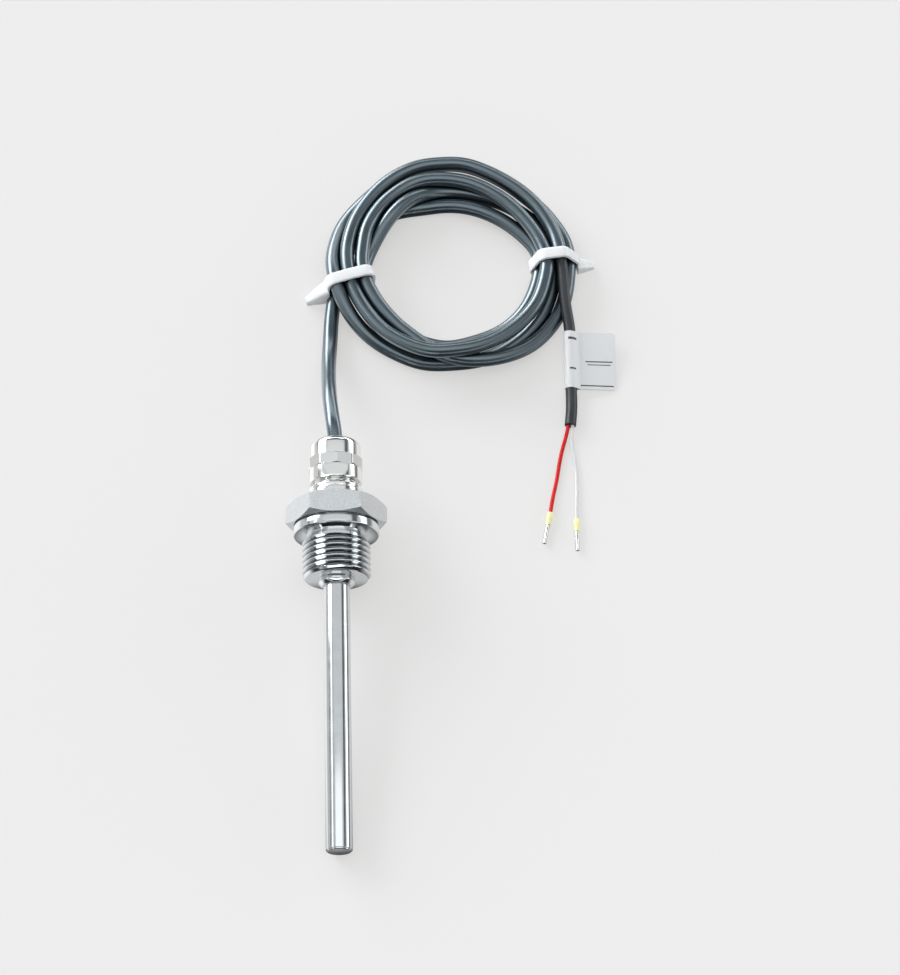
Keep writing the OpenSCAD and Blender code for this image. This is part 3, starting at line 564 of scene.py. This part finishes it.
band_from, band_to, nut_end, nut_r, dome_r = 21.3, 24.9, 31, 7.75, 2.2
arc = np.radians(np.arange(0, 91, 9))
dome = np.column_stack([nut_end - dome_r + dome_r * np.sin(arc), nut_r - dome_r + dome_r * np.cos(arc)])
nut_rows = np.vstack([
    eased(np.array([(17.1, 6.5), (17.1, 7.8), (17.4, 8.1), (band_from, 8.1)]) * mm, 0.1 * mm, closed=False),
    [((band_from + s) * mm, BY_BAND) for s in (0, 0.1, 0.2, 0.3, 0.4, 1.8, 3.2, 3.3, 3.4, 3.5, 3.6)],
    np.array([(band_to, nut_r)]) * mm, dome * mm,
    np.array([(nut_end, 3.1), (30.85, 2.75), (30.5, 2.6), (27.2, 2.6), (27.2, 4.9), (23, 6.2), (21.9, 6.2),
              (21.9, 6.5)]) * mm])
cap_nut = dress(turned("cap_nut_turned", nut_rows, cols=200, shape=band_radius, sharp=30),
                "nickel_plate", "cap_nut")
print("gland rows:", len(gland_rows), "cap nut rows:", len(nut_rows))

# %% [markdown]
# ## The two cable ties
#
# A tie's strap takes the shape of a tight string round the strands it holds. In the tie's plane each
# strand is a circle. For every direction, the string touches the circle that reaches furthest that
# way, so its point is that circle's middle plus the radius along the direction. Between two
# circles this leaves a straight stretch, as a tight strap has. A flat oval section is carried
# round this loop. The lock is a tapered block beside the bundle.

# %% Ties
strap_w, strap_t, slack = 3.8 * mm, 1.1 * mm, 0.05 * mm


def strands_at(place, across, along):
    """Where the cable passes through the tie's plane: its distance along `across` and its height,
    found where the side of the plane changes between two points of the path."""
    d = (cable_path - place) @ along
    k = np.nonzero((d[:-1] * d[1:] <= 0) & (np.abs((cable_path[:-1] - place) @ across) < 14 * mm))[0]
    w = (d[k] / (d[k] - d[k + 1]))[:, None]
    p = cable_path[k] * (1 - w) + cable_path[k + 1] * w
    return np.column_stack([(p - place) @ across, p[:, 2]])


def squarish(v, power):
    """The sine or cosine of a superellipse: |v| to a power under 1, with the sign of v."""
    return np.sign(v) * np.abs(v) ** power


def cable_tie(name, x, y, turn_deg, side):
    """The strap of a tie whose plane stands at (x, y), turned round the vertical. Gives the strap,
    what its lock needs (the place, the ways outwards and along the cable, the bundle's edge), and
    the strands it holds."""
    across = np.array([math.cos(math.radians(turn_deg)), math.sin(math.radians(turn_deg)), 0])
    along = np.array([-across[1], across[0], 0])
    place = on_floor([x, y, 0])
    held = strands_at(place, across, along)
    a = np.linspace(0, 2 * math.pi, 180, endpoint=False)
    way = np.column_stack([np.cos(a), np.sin(a)])
    loop = held[np.argmax(held @ way.T, axis=0)]
    b = np.linspace(0, 2 * math.pi, 20, endpoint=False)
    out = (1 + squarish(np.sin(b), 0.35)) * strap_t / 2 + cable_d / 2 + slack
    wide = squarish(np.cos(b), 0.35) * strap_w / 2
    flat = loop[:, None] + out[None, :, None] * way[:, None]
    points = place + flat[..., :1] * across + wide[None, :, None] * along + flat[..., 1:] * [0, 0, 1]
    points[..., 2] = np.maximum(points[..., 2], 0.02 * mm)
    strap = grid_piece(name + "_strap", points, np.arange(181) / 180 * 0.05, np.arange(21) / 20 * 0.01,
                       close_rows=True)
    edge = (held[:, 0] * side).max() + cable_d / 2 + strap_t
    return strap, place, across * side, along, edge, held


def lock(name, place, out, along, start, length, root, tip, shift):
    """The lock and the cut end of the strap in it, as one fin: its section is a rounded rectangle
    (a superellipse of power 6) that stands on the floor and narrows from the root's width and
    height to the tip's. Small steps mark the lip where the strap comes out of the lock."""
    part = np.array([0, 0.05, 0.15, 0.3, 0.45, 0.58, 0.60, 0.75, 0.9, 0.97, 1.0])
    size = 1 - part[:, None] ** 1.15
    both = np.array(tip) + (np.array(root) - np.array(tip)) * size
    both[:6] *= 1.05
    both[[0, -1]] *= 0.9
    wide, high = both.T
    b = np.linspace(0, 2 * math.pi, 40, endpoint=False)
    outwards = (start + part * length)[:, None, None] * out
    sideways = (shift + wide[:, None] / 2 * squarish(np.cos(b), 0.33))[..., None] * along
    upwards = (high[:, None] / 2 * (1 + 0.995 * squarish(np.sin(b), 0.33)))[..., None] * [0, 0, 1]
    points = place + outwards + sideways + upwards
    return grid_piece(name + "_lock", points, part * length, np.arange(41) / 40 * 0.02)


nylon_pieces = []
# name, place (x, y), turn, the lock's side, its length, root and tip (width, height), shift along the cable
ties = [("tie_left", 4.3, 62.7, 15, -1, 7.4, (5.0, 7.4), (2.2, 2.0), -0.3),
        ("tie_right", 69, 69.6, 8, 1, 5.6, (4.4, 4.2), (2.0, 1.4), -1.2)]
for name, x, y, turn_deg, side, length, root, tip, shift in ties:
    strap, place, out, along, edge, held = cable_tie(name, x, y, turn_deg, side)
    fin = lock(name, place, out, along, edge - 1 * mm, length * mm, np.array(root) * mm, np.array(tip) * mm,
               shift * mm)
    nylon_pieces += [dress(strap, "natural_nylon", name), dress(fin, "natural_nylon", name)]
    top = float(held[:, 1].max()) + cable_d / 2 + slack + strap_t
    print(name, "holds", len(held), "strands, height", round(top / mm, 1), "mm")

# %% [markdown]
# ## The flag label
#
# It is one strip of film: from the flag's edge to the cable, once round it, and back, pressed onto
# itself. So it is a path in the section, with the film's thickness to both sides, drawn out along
# the cable. From the flat flag to the round wrap it eases along `3 t^2 - 2 t^3`. The flag droops and
# curls a little, and its two free corners are rounded.

# %% Label
label_h, flag_l, film_t, label_taper = 19.1 * mm, 14.4 * mm, 0.2 * mm, 3.4 * mm
label_from, label_to = on_floor([73.9, 24.6, 2.2]), on_floor([73.9, 46.2, 4.9])
rise_dir = (label_to - label_from) / np.linalg.norm(label_to - label_from)
droop = math.radians(6.5)
below = np.array([0, rise_dir[2], -rise_dir[1]])
flag_dir = math.cos(droop) * np.array([1.0, 0, 0]) + math.sin(droop) * below
face_dir = np.cross(rise_dir, flag_dir)
wrap_r = sheath_d / 2 + 0.02 * mm + film_t / 2
bend_in = np.linspace(0, 1, 9)[1:-1]
ease = bend_in * bend_in * (3 - 2 * bend_in)
round_a = np.linspace(math.pi / 2, 3 * math.pi / 2, 37)
layer = film_t / 2 + 0.004 * mm
flat_x = np.linspace(flag_l, label_taper, 24)
top = np.column_stack([flat_x, np.full(24, layer)])
slope = np.column_stack([label_taper * (1 - bend_in), layer + (wrap_r - layer) * ease])
loop = np.column_stack([wrap_r * np.cos(round_a), wrap_r * np.sin(round_a)])
half_path = np.vstack([top, slope, loop, slope[::-1] * [1, -1], top[::-1] * [1, -1]])
step = np.gradient(half_path, axis=0)
step /= np.linalg.norm(step, axis=1)[:, None]
normal = np.column_stack([-step[:, 1], step[:, 0]])
h = np.linspace(0, 1, 13)
corner = 0.9 * mm
near_end = np.clip((half_path[:, 0] - (flag_l - corner)) / corner, 0, 1)
cut = corner * (1 - np.sqrt(1 - near_end ** 2))
lines = []
for offset, order in ((film_t / 2, h), (-film_t / 2, h[::-1])):
    section = half_path + normal * offset
    z = cut[:, None] + order[None, :] * (label_h - 2 * cut[:, None])
    curl = 0.35 * mm * (np.clip(section[:, :1], 0, None) / flag_l) ** 2 * np.cos(math.pi * order[None, :])
    lines.append(section[:, :1, None] * flag_dir + (section[:, 1:2] + curl)[..., None] * face_dir
                 + z[..., None] * rise_dir)
points = label_from + 0.01 * (label_to - label_from) + np.concatenate(lines, axis=1)
strip_l = length_of(half_path)
up_strip = np.concatenate([h * label_h, label_h * (1 - h), [0]])
label = dress(grid_piece("flag_label", points, run_along(half_path), up_strip, sharp=60),
              "label_film", "cable_label")
low, high = corners(label)
print("label box mm:", np.round((high - low) / mm, 1).tolist())

# %% [markdown]
# ## Ferrules
#
# Each core ends in a crimped ferrule: a plastic collar that narrows, and a thin tinned copper
# sleeve with an open end. The core carries both of them.

# %% Ferrules
collar_rows = eased(np.array([(0, 0.66), (0, 0.9), (0.1, 1.0), (1.92, 1.0), (3.2, 0.8), (4.2, 0.8), (4.2, 0.4),
                              (3, 0.4), (3, 0.66)]) * mm, 0.12 * mm)
pin_rows = eased(np.array([(9.9, 0), (9.9, 0.36), (10.7, 0.42), (10.7, 0.55), (4.2, 0.55), (4.2, 0.37), (3, 0.37),
                           (3, 0)]) * mm, 0.05 * mm, closed=False)[::-1]
ferrules = {}
for colour, core in cores.items():
    place, path = on_floor(core_ends[colour][0]), core_path[colour]
    collar = dress(turned("collar_" + colour, collar_rows, place, core_dir[colour], 40),
                   "ferrule_plastic", "ferrule_collar_" + colour)
    pin = dress(turned("pin_" + colour, pin_rows, place, core_dir[colour], 32, closed=False),
                "tinned_copper", "ferrule_pin_" + colour)
    ferrules[colour] = (collar, pin)
print("sheath:", round(length_of(sheath_path) / mm, 1), "mm")

# %% [markdown]
# ## Finishes
#
# Each finish is a Principled shader with its own roughness and relief. The new pieces carry a UV
# map in metres, so a pattern can follow the surface: turned marks run round a lathe part, and
# faint lines run along a cable. The hidden parts keep their solids and read Object coordinates.

# %% Finish helpers
def finish(name, colour, roughness, metallic=0.0, **more):
    """A Principled material with constant values on its own sockets."""
    mat = bpy.data.materials.new(name)
    mat.use_nodes = True
    shader = mat.node_tree.nodes["Principled BSDF"]
    values = {"Base Color": (*colour, 1), "Roughness": roughness, "Metallic": metallic, **more}
    for socket, value in values.items():
        shader.inputs[socket].default_value = value
    return mat, mat.node_tree, shader


def node(tree, kind, inputs=(), **settings):
    """A new shader node. An input is a value or another node's output, and the settings are its own."""
    made = tree.nodes.new("ShaderNode" + kind)
    for key, value in settings.items():
        setattr(made, key, value)
    for key, value in dict(inputs).items():
        if hasattr(value, "is_output"):
            tree.links.new(value, made.inputs[key])
        else:
            made.inputs[key].default_value = value
    return made


def surface_map(tree, scale):
    """The piece's own UV map, in metres, stretched by `scale`."""
    uv = node(tree, "UVMap", uv_map="surface")
    return node(tree, "Mapping", {"Vector": uv.outputs["UV"], "Scale": scale}).outputs["Vector"]


def object_map(tree):
    """The place in the object itself, in metres, for pieces without a UV map."""
    return node(tree, "TexCoord").outputs["Object"]


def between(tree, factor, low, high, start=0.0, end=1.0):
    """A value that goes from `low` to `high` while the factor goes from `start` to `end`."""
    return node(tree, "MapRange", {"Value": factor, "From Min": start, "From Max": end, "To Min": low,
                                   "To Max": high}).outputs["Result"]


def calc(tree, kind, a, b):
    """One arithmetic node: `a` and `b` are numbers or other nodes' outputs."""
    return node(tree, "Math", {0: a, 1: b}, operation=kind).outputs[0]


def blend(tree, low, high, share):
    """low + share (high - low)"""
    return calc(tree, "ADD", low, calc(tree, "MULTIPLY", share, calc(tree, "SUBTRACT", high, low)))


def step_up(tree, value, at, soft):
    """0 below `at`, 1 above it, with a soft edge."""
    return node(tree, "MapRange", {"Value": value, "From Min": at - soft / 2, "From Max": at + soft / 2},
                interpolation_type="SMOOTHSTEP").outputs["Result"]


def noise(tree, vector, detail, scale=1.0):
    """Noise around 0.5. The vector is in metres, or stretched already and then the scale is 1."""
    return node(tree, "TexNoise", {"Vector": vector, "Scale": scale, "Detail": detail}).outputs["Fac"]


def tint(tree, shader, factor, dark, light):
    """The base colour goes from `dark` to `light` with the factor."""
    mix = node(tree, "MixRGB", {"Fac": factor, "Color1": (*dark, 1), "Color2": (*light, 1)})
    tree.links.new(mix.outputs["Color"], shader.inputs["Base Color"])


def paint_over(tree, shader, factor, colour):
    """A second colour over the base colour there already is, as much as the factor says."""
    bare = shader.inputs["Base Color"].links[0].from_socket
    mix = node(tree, "MixRGB", {"Fac": factor, "Color1": bare, "Color2": (*colour, 1)})
    tree.links.new(mix.outputs["Color"], shader.inputs["Base Color"])


def relief(tree, shader, height, depth):
    """Bumps as deep as `depth` in metres, after a height from 0 to 1."""
    bump = node(tree, "Bump", {"Height": height, "Distance": depth, "Strength": 1.0})
    tree.links.new(bump.outputs["Normal"], shader.inputs["Normal"])


def lined(name, dark, light, roughness, fine, wide, spread, depth, metallic=0.0, **more):
    """Fine lines make the relief. In wide clouds the colour goes from `dark` to `light` and the
    roughness through its `spread`. `fine` and `wide` stretch the two noises."""
    mat, tree, shader = finish(name, light, roughness, metallic, **more)
    clouds = noise(tree, surface_map(tree, wide), 3.0)
    tint(tree, shader, between(tree, clouds, 0, 1, 0.3, 0.7), dark, light)
    uneven = between(tree, clouds, roughness * spread[0], roughness * spread[1], 0.3, 0.7)
    tree.links.new(uneven, shader.inputs["Roughness"])
    relief(tree, shader, noise(tree, surface_map(tree, fine), 4.0), depth)
    return mat


# %% [markdown]
# ## Metals
#
# Lathe marks are noise that changes every tenth of a millimetre along the profile and hardly round
# it. A second, wider noise makes the polish uneven: the roughness varies by half of itself. The
# hexagon is milled, so it has an even grain instead. The thread's roots and the groove get painted shade.

# %% Metal finishes
def turned_metal(name, colour, roughness, marks, depth):
    """Lathe marks, one every `marks` metres along the profile."""
    return lined(name, [0.93 * c for c in colour], colour, roughness, (1 / marks, 3, 1), (220, 5, 1), (0.7, 1.5),
                 depth, 1.0)


def turned_steel():
    """The polished steel again, with painted shade in the hollows after the piece's own `hollow` values."""
    mat = turned_metal("polished_turned_steel", (0.64, 0.66, 0.67), 0.10, 0.12 * mm, 0.0012 * mm)
    tree = mat.node_tree
    shader = tree.nodes["Principled BSDF"]
    deep = node(tree, "Attribute", attribute_name="hollow").outputs["Fac"]
    # painted shade: the thread's roots and the groove are darkened
    paint_over(tree, shader, between(tree, deep, 0, 0.85, 0.25, 0.95), (0.10, 0.12, 0.13))
    return mat


polished_steel = turned_steel()
drawn_tube = turned_metal("drawn_polished_tube", (0.58, 0.60, 0.61), 0.10, 0.5 * mm, 0.002 * mm)
nickel = turned_metal("nickel_plate_bright", (0.76, 0.765, 0.75), 0.10, 0.2 * mm, 0.0015 * mm)
tinned = turned_metal("tinned_copper", (0.78, 0.77, 0.75), 0.28, 0.3 * mm, 0.006 * mm)
hex_steel, tree, shader = finish("milled_hexagon_steel", (0.58, 0.60, 0.61), 0.45, 1.0)
grain = noise(tree, object_map(tree), 3.0, 2600.0)
tint(tree, shader, between(tree, grain, 0, 1, 0.35, 0.65), (0.50, 0.52, 0.53), (0.64, 0.66, 0.67))
tree.links.new(between(tree, noise(tree, object_map(tree), 2.0, 260.0), 0.38, 0.52), shader.inputs["Roughness"])
relief(tree, shader, grain, 0.01 * mm)

# %% [markdown]
# ## Cable, cores, ties and film
#
# Extruded plastic has faint lines along it. The jacket is dark below and has a smooth coat that
# mirrors strongly (an index of refraction of 2), so that the sky draws a bright line on each turn.

# %% Cable and plastic finishes
def soft_plastic(name, dark, light, roughness, stretch, depth=0.01 * mm, **more):
    """Extruded plastic: faint lines along the length and a slight change of colour."""
    return lined(name, dark, light, roughness, stretch, (90, 400, 1), (0.85, 1.2), depth, **more)


jacket = soft_plastic("jacket_grey", (0.011, 0.016, 0.019), (0.016, 0.024, 0.028), 0.32,
                      (150, 1600, 1), 0.004 * mm,
                      **{"IOR": 2.0, "Coat Weight": 1.0, "Coat Roughness": 0.24,
                         "Specular Tint": (0.79, 0.93, 1.0, 1), "Coat Tint": (0.85, 0.95, 1.0, 1)})
sheath_black = soft_plastic("sheath_dark", (0.016, 0.019, 0.023), (0.023, 0.027, 0.032), 0.42, (200, 2400, 1))
nylon = soft_plastic("nylon_natural", (0.68, 0.69, 0.695), (0.73, 0.74, 0.745), 0.38, (700, 700, 1),
                     **{"Subsurface Weight": 0.15, "Subsurface Radius": (0.002, 0.002, 0.002),
                        "Subsurface Scale": 0.5})
red = soft_plastic("core_red_plastic", (0.50, 0.003, 0.003), (0.62, 0.005, 0.004), 0.35, (300, 3000, 1),
                   **{"Specular IOR Level": 0.25})
white = soft_plastic("core_white_plastic", (0.58, 0.585, 0.59), (0.66, 0.665, 0.67), 0.35, (300, 3000, 1))
collar_yellow = soft_plastic("collar_pale_yellow", (0.80, 0.74, 0.36), (0.90, 0.85, 0.48), 0.4, (800, 60, 1))

# %% [markdown]
# ## Film with plain bars
#
# The label has no text. Plain dark bars stand where printed lines are. A bar is where four
# conditions hold at once, and so it is the product of four numbers that are each 0 or 1.

# %% Label finish
film, tree, shader = finish("label_film_grey", (0.64, 0.65, 0.66), 0.42)
fibre = noise(tree, surface_map(tree, (1, 1, 1)), 4.0, 900.0)
tint(tree, shader, fibre, (0.62, 0.625, 0.63), (0.66, 0.665, 0.67))
relief(tree, shader, fibre, 0.01 * mm)
# each bar: (from, to) from the flag's edge along the strip and (from, to) up the film, in mm
bars = [(1.0, 9.6, 9.1, 9.5), (1.6, 9.0, 8.1, 8.4), (0.8, 11.4, 1.0, 1.4), (12.6, 15.6, 16.2, 17.0),
        (13.2, 15.4, 6.1, 6.7)]
on_film = node(tree, "SeparateXYZ", {"Vector": node(tree, "UVMap", uv_map="surface").outputs["UV"]}).outputs
from_edge, up_film = calc(tree, "SUBTRACT", strip_l, on_film["X"]), on_film["Y"]
ink = 0.0
for u0, u1, v0, v1 in bars:
    bar = 1.0
    for value, low, high in ((from_edge, u0, u1), (up_film, v0, v1)):
        bar = calc(tree, "MULTIPLY", bar, calc(tree, "GREATER_THAN", value, low * mm))
        bar = calc(tree, "MULTIPLY", bar, calc(tree, "LESS_THAN", value, high * mm))
    ink = calc(tree, "MAXIMUM", ink, bar)
paint_over(tree, shader, ink, (0.03, 0.03, 0.035))
print("bars on the label:", len(bars))

# %% [markdown]
# ## The parts inside
#
# The hidden parts keep the solids of the design and get a plain finish of the right kind.

# %% Finishes of the hidden parts
def plain(name, dark, light, roughness, scale, metallic=0.0, **more):
    """For the parts inside: speckle of two colours and a little relief, on Object coordinates."""
    mat, tree, shader = finish(name, light, roughness, metallic, **more)
    speck = noise(tree, object_map(tree), 4.0, scale)
    tint(tree, shader, between(tree, speck, 0, 1, 0.3, 0.7), dark, light)
    uneven = between(tree, speck, roughness * 0.8, min(1, roughness * 1.2))
    tree.links.new(uneven, shader.inputs["Roughness"])
    relief(tree, shader, speck, 0.01 * mm)
    return mat


rubber = plain("rubber_black", (0.012, 0.012, 0.013), (0.022, 0.022, 0.023), 0.6, 1500)
hidden = {"measuring_element": plain("ceramic_white", (0.78, 0.77, 0.72), (0.86, 0.85, 0.80), 0.5, 2500),
          "element_leads": plain("lead_wire_bright", (0.6, 0.6, 0.62), (0.72, 0.72, 0.74), 0.3, 3000, 1.0),
          "splice_sleeves": plain("sleeve_brass", (0.65, 0.50, 0.25), (0.75, 0.60, 0.32), 0.3, 2500, 1.0),
          "insulating_sleeve": plain("insulation_amber", (0.75, 0.66, 0.42), (0.84, 0.76, 0.52), 0.45, 1200),
          "tip_filling": plain("filling_powder", (0.42, 0.43, 0.45), (0.56, 0.57, 0.59), 0.8, 4000),
          "inner_core_red": plain("inner_red", (0.50, 0.01, 0.015), (0.62, 0.016, 0.02), 0.35, 1500),
          "inner_core_white": plain("inner_white", (0.80, 0.81, 0.82), (0.88, 0.89, 0.90), 0.35, 1500),
          "clamping_insert": plain("insert_plastic", (0.76, 0.76, 0.72), (0.84, 0.84, 0.80), 0.4, 1500),
          "rubber_seal": rubber}
print("hidden parts:", len(hidden))

# %% [markdown]
# ## Dark gaps between the turns
#
# A coat mirrors the sky even in a gap where hardly any sky is seen. So the share of nearby surfaces
# round a point decides how much of the finish stays.

# %% Gaps
def darker_gaps(mat, reach):
    """Little light gets into the narrow gaps between turns: where nearby surfaces hide more than a
    half of what a point could see, the finish turns to a dull black."""
    tree = mat.node_tree
    shader, out = tree.nodes["Principled BSDF"], tree.nodes["Material Output"]
    seen = node(tree, "AmbientOcclusion", {"Distance": reach}, samples=6).outputs["AO"]
    dull = node(tree, "BsdfDiffuse", {"Color": (0.004, 0.005, 0.006, 1)}).outputs["BSDF"]
    mix = node(tree, "MixShader", {0: between(tree, seen, 1, 0, 0.15, 0.55), 1: shader.outputs["BSDF"], 2: dull})
    tree.links.new(mix.outputs["Shader"], out.inputs["Surface"])


darker_gaps(jacket, 3.5 * mm)

# %% [markdown]
# ## Each piece gets its finish
#
# The screw-in body has two: the second one is for the hexagon's faces.

# %% Give the finishes
given = [(cable, jacket), (sheath, sheath_black), (cores["red"], red), (cores["white"], white), (label, film),
         (weld_bush, polished_steel), (probe_tube, drawn_tube), (tip_cap, drawn_tube), (gasket, rubber),
         (gland_body, nickel), (cap_nut, nickel)]
given += [(piece, nylon) for piece in nylon_pieces]
given += [pair for collar, pin in ferrules.values() for pair in ((collar, collar_yellow), (pin, tinned))]
for piece, mat in given:
    piece.data.materials.append(mat)
screw_in_body.data.materials[0], screw_in_body.data.materials[1] = polished_steel, hex_steel
for name, mat in hidden.items():
    solid = frame["nodes"][name].data
    solid.materials.clear()
    solid.materials.append(mat)
print("finishes:", len(bpy.data.materials))

# %% [markdown]
# ## Floor and light
#
# Small shiny goods lie on a light table: a white sheet that glows from below, so that their shadows
# nearly vanish. Around it stand soft panels and black cards. Polished metal shows nothing but these,
# so they are placed by the angles at which the tube and the thread mirror them.
# All of them are far away, so they are painted on the sky: `u` is the angle from straight up
# to the right, and `w` is how far a direction points to the back. A later row lies over an earlier.

# %% Sky with its panels
# (u from, u to, w from, w to, height from, height to, softness of u, brightness there)
all_u, all_w = (-180, 180), (-1.3, 1.3)
panels = [(*all_u, *all_w, *all_w, 5, 0.80),               # the room
          (*all_u, 0.40, 1.3, *all_w, 5, 0.25),            # its darker far part
          (-80, 70, -1.3, -0.50, *all_w, 20, 0.02),        # black cloth behind the camera
          (*all_u, -1.3, -0.50, 0.20, 0.31, 20, 3.0),      # low strip in front of it
          (-28, 30, -0.46, 0.12, *all_w, 8, 1.75),         # overhead panel
          (-34, 38, 0.12, 0.39, *all_w, 8, 0.95),          # pale ceiling behind it
          (*all_u, 0.50, 1.3, *all_w, 16, 0.06),           # dark far wall
          (*all_u, 0.70, 1.3, 0.42, 0.60, 16, 3.5),        # panel before that wall
          (43, 58, -0.1, 0.6, *all_w, 5, 0.15),            # black card above the right panel
          (-78, -72, 0.0, 0.36, *all_w, 3, 0.20),          # gap under the left panel
          (-57, -51, -0.25, 0.36, *all_w, 4, 3.5),         # left panel, its narrow front part
          (-78, -46, 0.36, 0.95, *all_w, 10, 11.0),        # and its wide part, the main light
          (70, 86, -0.1, 0.39, *all_w, 4, 3.2),            # right panel, narrow
          (66, 88, 0.40, 0.95, *all_w, 8, 4.5)]            # and wide
plain_sky = 0.86

world = bpy.data.worlds.new("studio")
bpy.context.scene.world = world
world.use_nodes = True
tree = world.node_tree
way = node(tree, "SeparateXYZ", {"Vector": node(tree, "TexCoord").outputs["Generated"]}).outputs
u = calc(tree, "MULTIPLY", calc(tree, "ARCTAN2", way["X"], way["Z"]), 180 / math.pi)
w = way["Y"]
light = 0.0
for u0, u1, w0, w1, h0, h1, soft, bright in panels:
    mask = 1.0
    for value, low, high, edge in ((u, u0, u1, soft), (w, w0, w1, 0.08), (way["Z"], h0, h1, 0.04)):
        if (low, high) not in (all_u, all_w):
            window = calc(tree, "SUBTRACT", step_up(tree, value, low, edge), step_up(tree, value, high, edge))
            mask = calc(tree, "MULTIPLY", mask, window)
    light = blend(tree, light, bright, mask)
light = blend(tree, light, plain_sky, node(tree, "LightPath").outputs["Is Camera Ray"])
tree.links.new(light, tree.nodes["Background"].inputs["Strength"])
tree.nodes["Background"].inputs["Color"].default_value = (0.96, 0.98, 1.0, 1)
world.cycles.sampling_method = "MANUAL"
world.cycles.sample_map_resolution = 1024
bpy.context.scene.view_settings.view_transform = "Standard"
print("panels:", len(panels))

# %% [markdown]
# ## The light table
#
# A level sheet that returns the share `s` of the light `E` that falls on it, and glows with `g`,
# looks as bright as `s E + g`. So the glow is what is missing to the brightness that is wanted.
# Mirrored in metal, the table shows painted reflections: darker towards the front, next to the goods and far off
# at flat angles, and brighter towards its two sides.

# %% Floor
def daylight():
    """What the sky gives to a level white sheet: the mean brightness weighted with the height of
    each direction. In (u, w) the sphere's area is du dw, and the height is cos u sqrt(1 - w^2)."""
    uu, ww = np.meshgrid(np.linspace(-89.75, 89.75, 360), np.linspace(-0.995, 0.995, 200))
    value = np.zeros_like(uu)
    height = np.cos(np.radians(uu)) * np.sqrt(1 - ww ** 2)
    for u0, u1, w0, w1, h0, h1, _, bright in panels:
        inside = (uu > u0) & (uu < u1) & (ww > w0) & (ww < w1) & (height > h0) & (height < h1)
        value = np.where(inside, bright, value)
    return float((value * height).sum() / height.sum())


sheet, wanted = 0.26, 0.86
glow = wanted - sheet * daylight()
print("sky on the table:", round(daylight(), 3), "glow:", round(glow, 3))
floor_mat, tree, shader = finish("light_table", (sheet, sheet, sheet), 0.95)
shader.inputs["Specular IOR Level"].default_value = 0.0
shader.inputs["Emission Color"].default_value = (1.01, 1.0, 0.985, 1)
ray = node(tree, "LightPath").outputs
back_way = node(tree, "SeparateXYZ", {"Vector": node(tree, "NewGeometry").outputs["Incoming"]}).outputs
# painted reflection: metal that looks forwards along the table sees the table dark there
dark_forwards = step_up(tree, back_way["Y"], 0.55, 0.3)
# painted shade in the reflection: metal close to the table sees the table darker there
own_shade = blend(tree, 0.85, 0.0, step_up(tree, ray["Ray Length"], 0.007, 0.01))
# painted reflection: far down the table, seen at a flat angle, the table looks dark
flat_view = blend(tree, between(tree, back_way["X"], 0.75, 0.45, -0.2, 0.2), 0.0,
                  step_up(tree, back_way["Z"], 0.30, 0.24))
stays = 1.0
for dark in (dark_forwards, own_shade, flat_view):
    stays = blend(tree, stays, 0.0, calc(tree, "MULTIPLY", dark, ray["Is Glossy Ray"]))
# painted reflection: metal that looks towards the table's two sides sees it brighter
sides = calc(tree, "ADD", between(tree, back_way["X"], 0.0, 1.0, 0.3, 0.6),
             between(tree, back_way["X"], 0.35, 0.0, -0.6, -0.3))
lit = calc(tree, "ADD", 1.0, calc(tree, "MULTIPLY", sides, ray["Is Glossy Ray"]))
shown_glow = calc(tree, "MULTIPLY", calc(tree, "MULTIPLY", stays, lit), glow)
tree.links.new(shown_glow, shader.inputs["Emission Strength"])
# painted reflection: reflection rays see the sheet's colour darken where `stays` falls
tint(tree, shader, stays, (0.03, 0.03, 0.03), (sheet, sheet, sheet))
floor = put_mesh("floor", np.array([(-3, -3, 0), (3, -3, 0), (3, 3, 0), (-3, 3, 0)], float), [[0, 1, 2, 3]])
floor.data.materials.append(floor_mat)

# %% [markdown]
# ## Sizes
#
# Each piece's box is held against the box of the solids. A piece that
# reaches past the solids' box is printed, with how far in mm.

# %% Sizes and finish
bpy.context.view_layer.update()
for piece in bpy.data.objects:
    if piece.type == "MESH" and piece.name != "floor" and not piece.hide_render:
        low, high = corners(piece)
        past = np.maximum(np.array(cad_box[0]) - low, high - np.array(cad_box[1])) / mm
        if past.max() > 0.001:
            print("past the solids' box:", piece.name, np.round(past, 3).tolist())
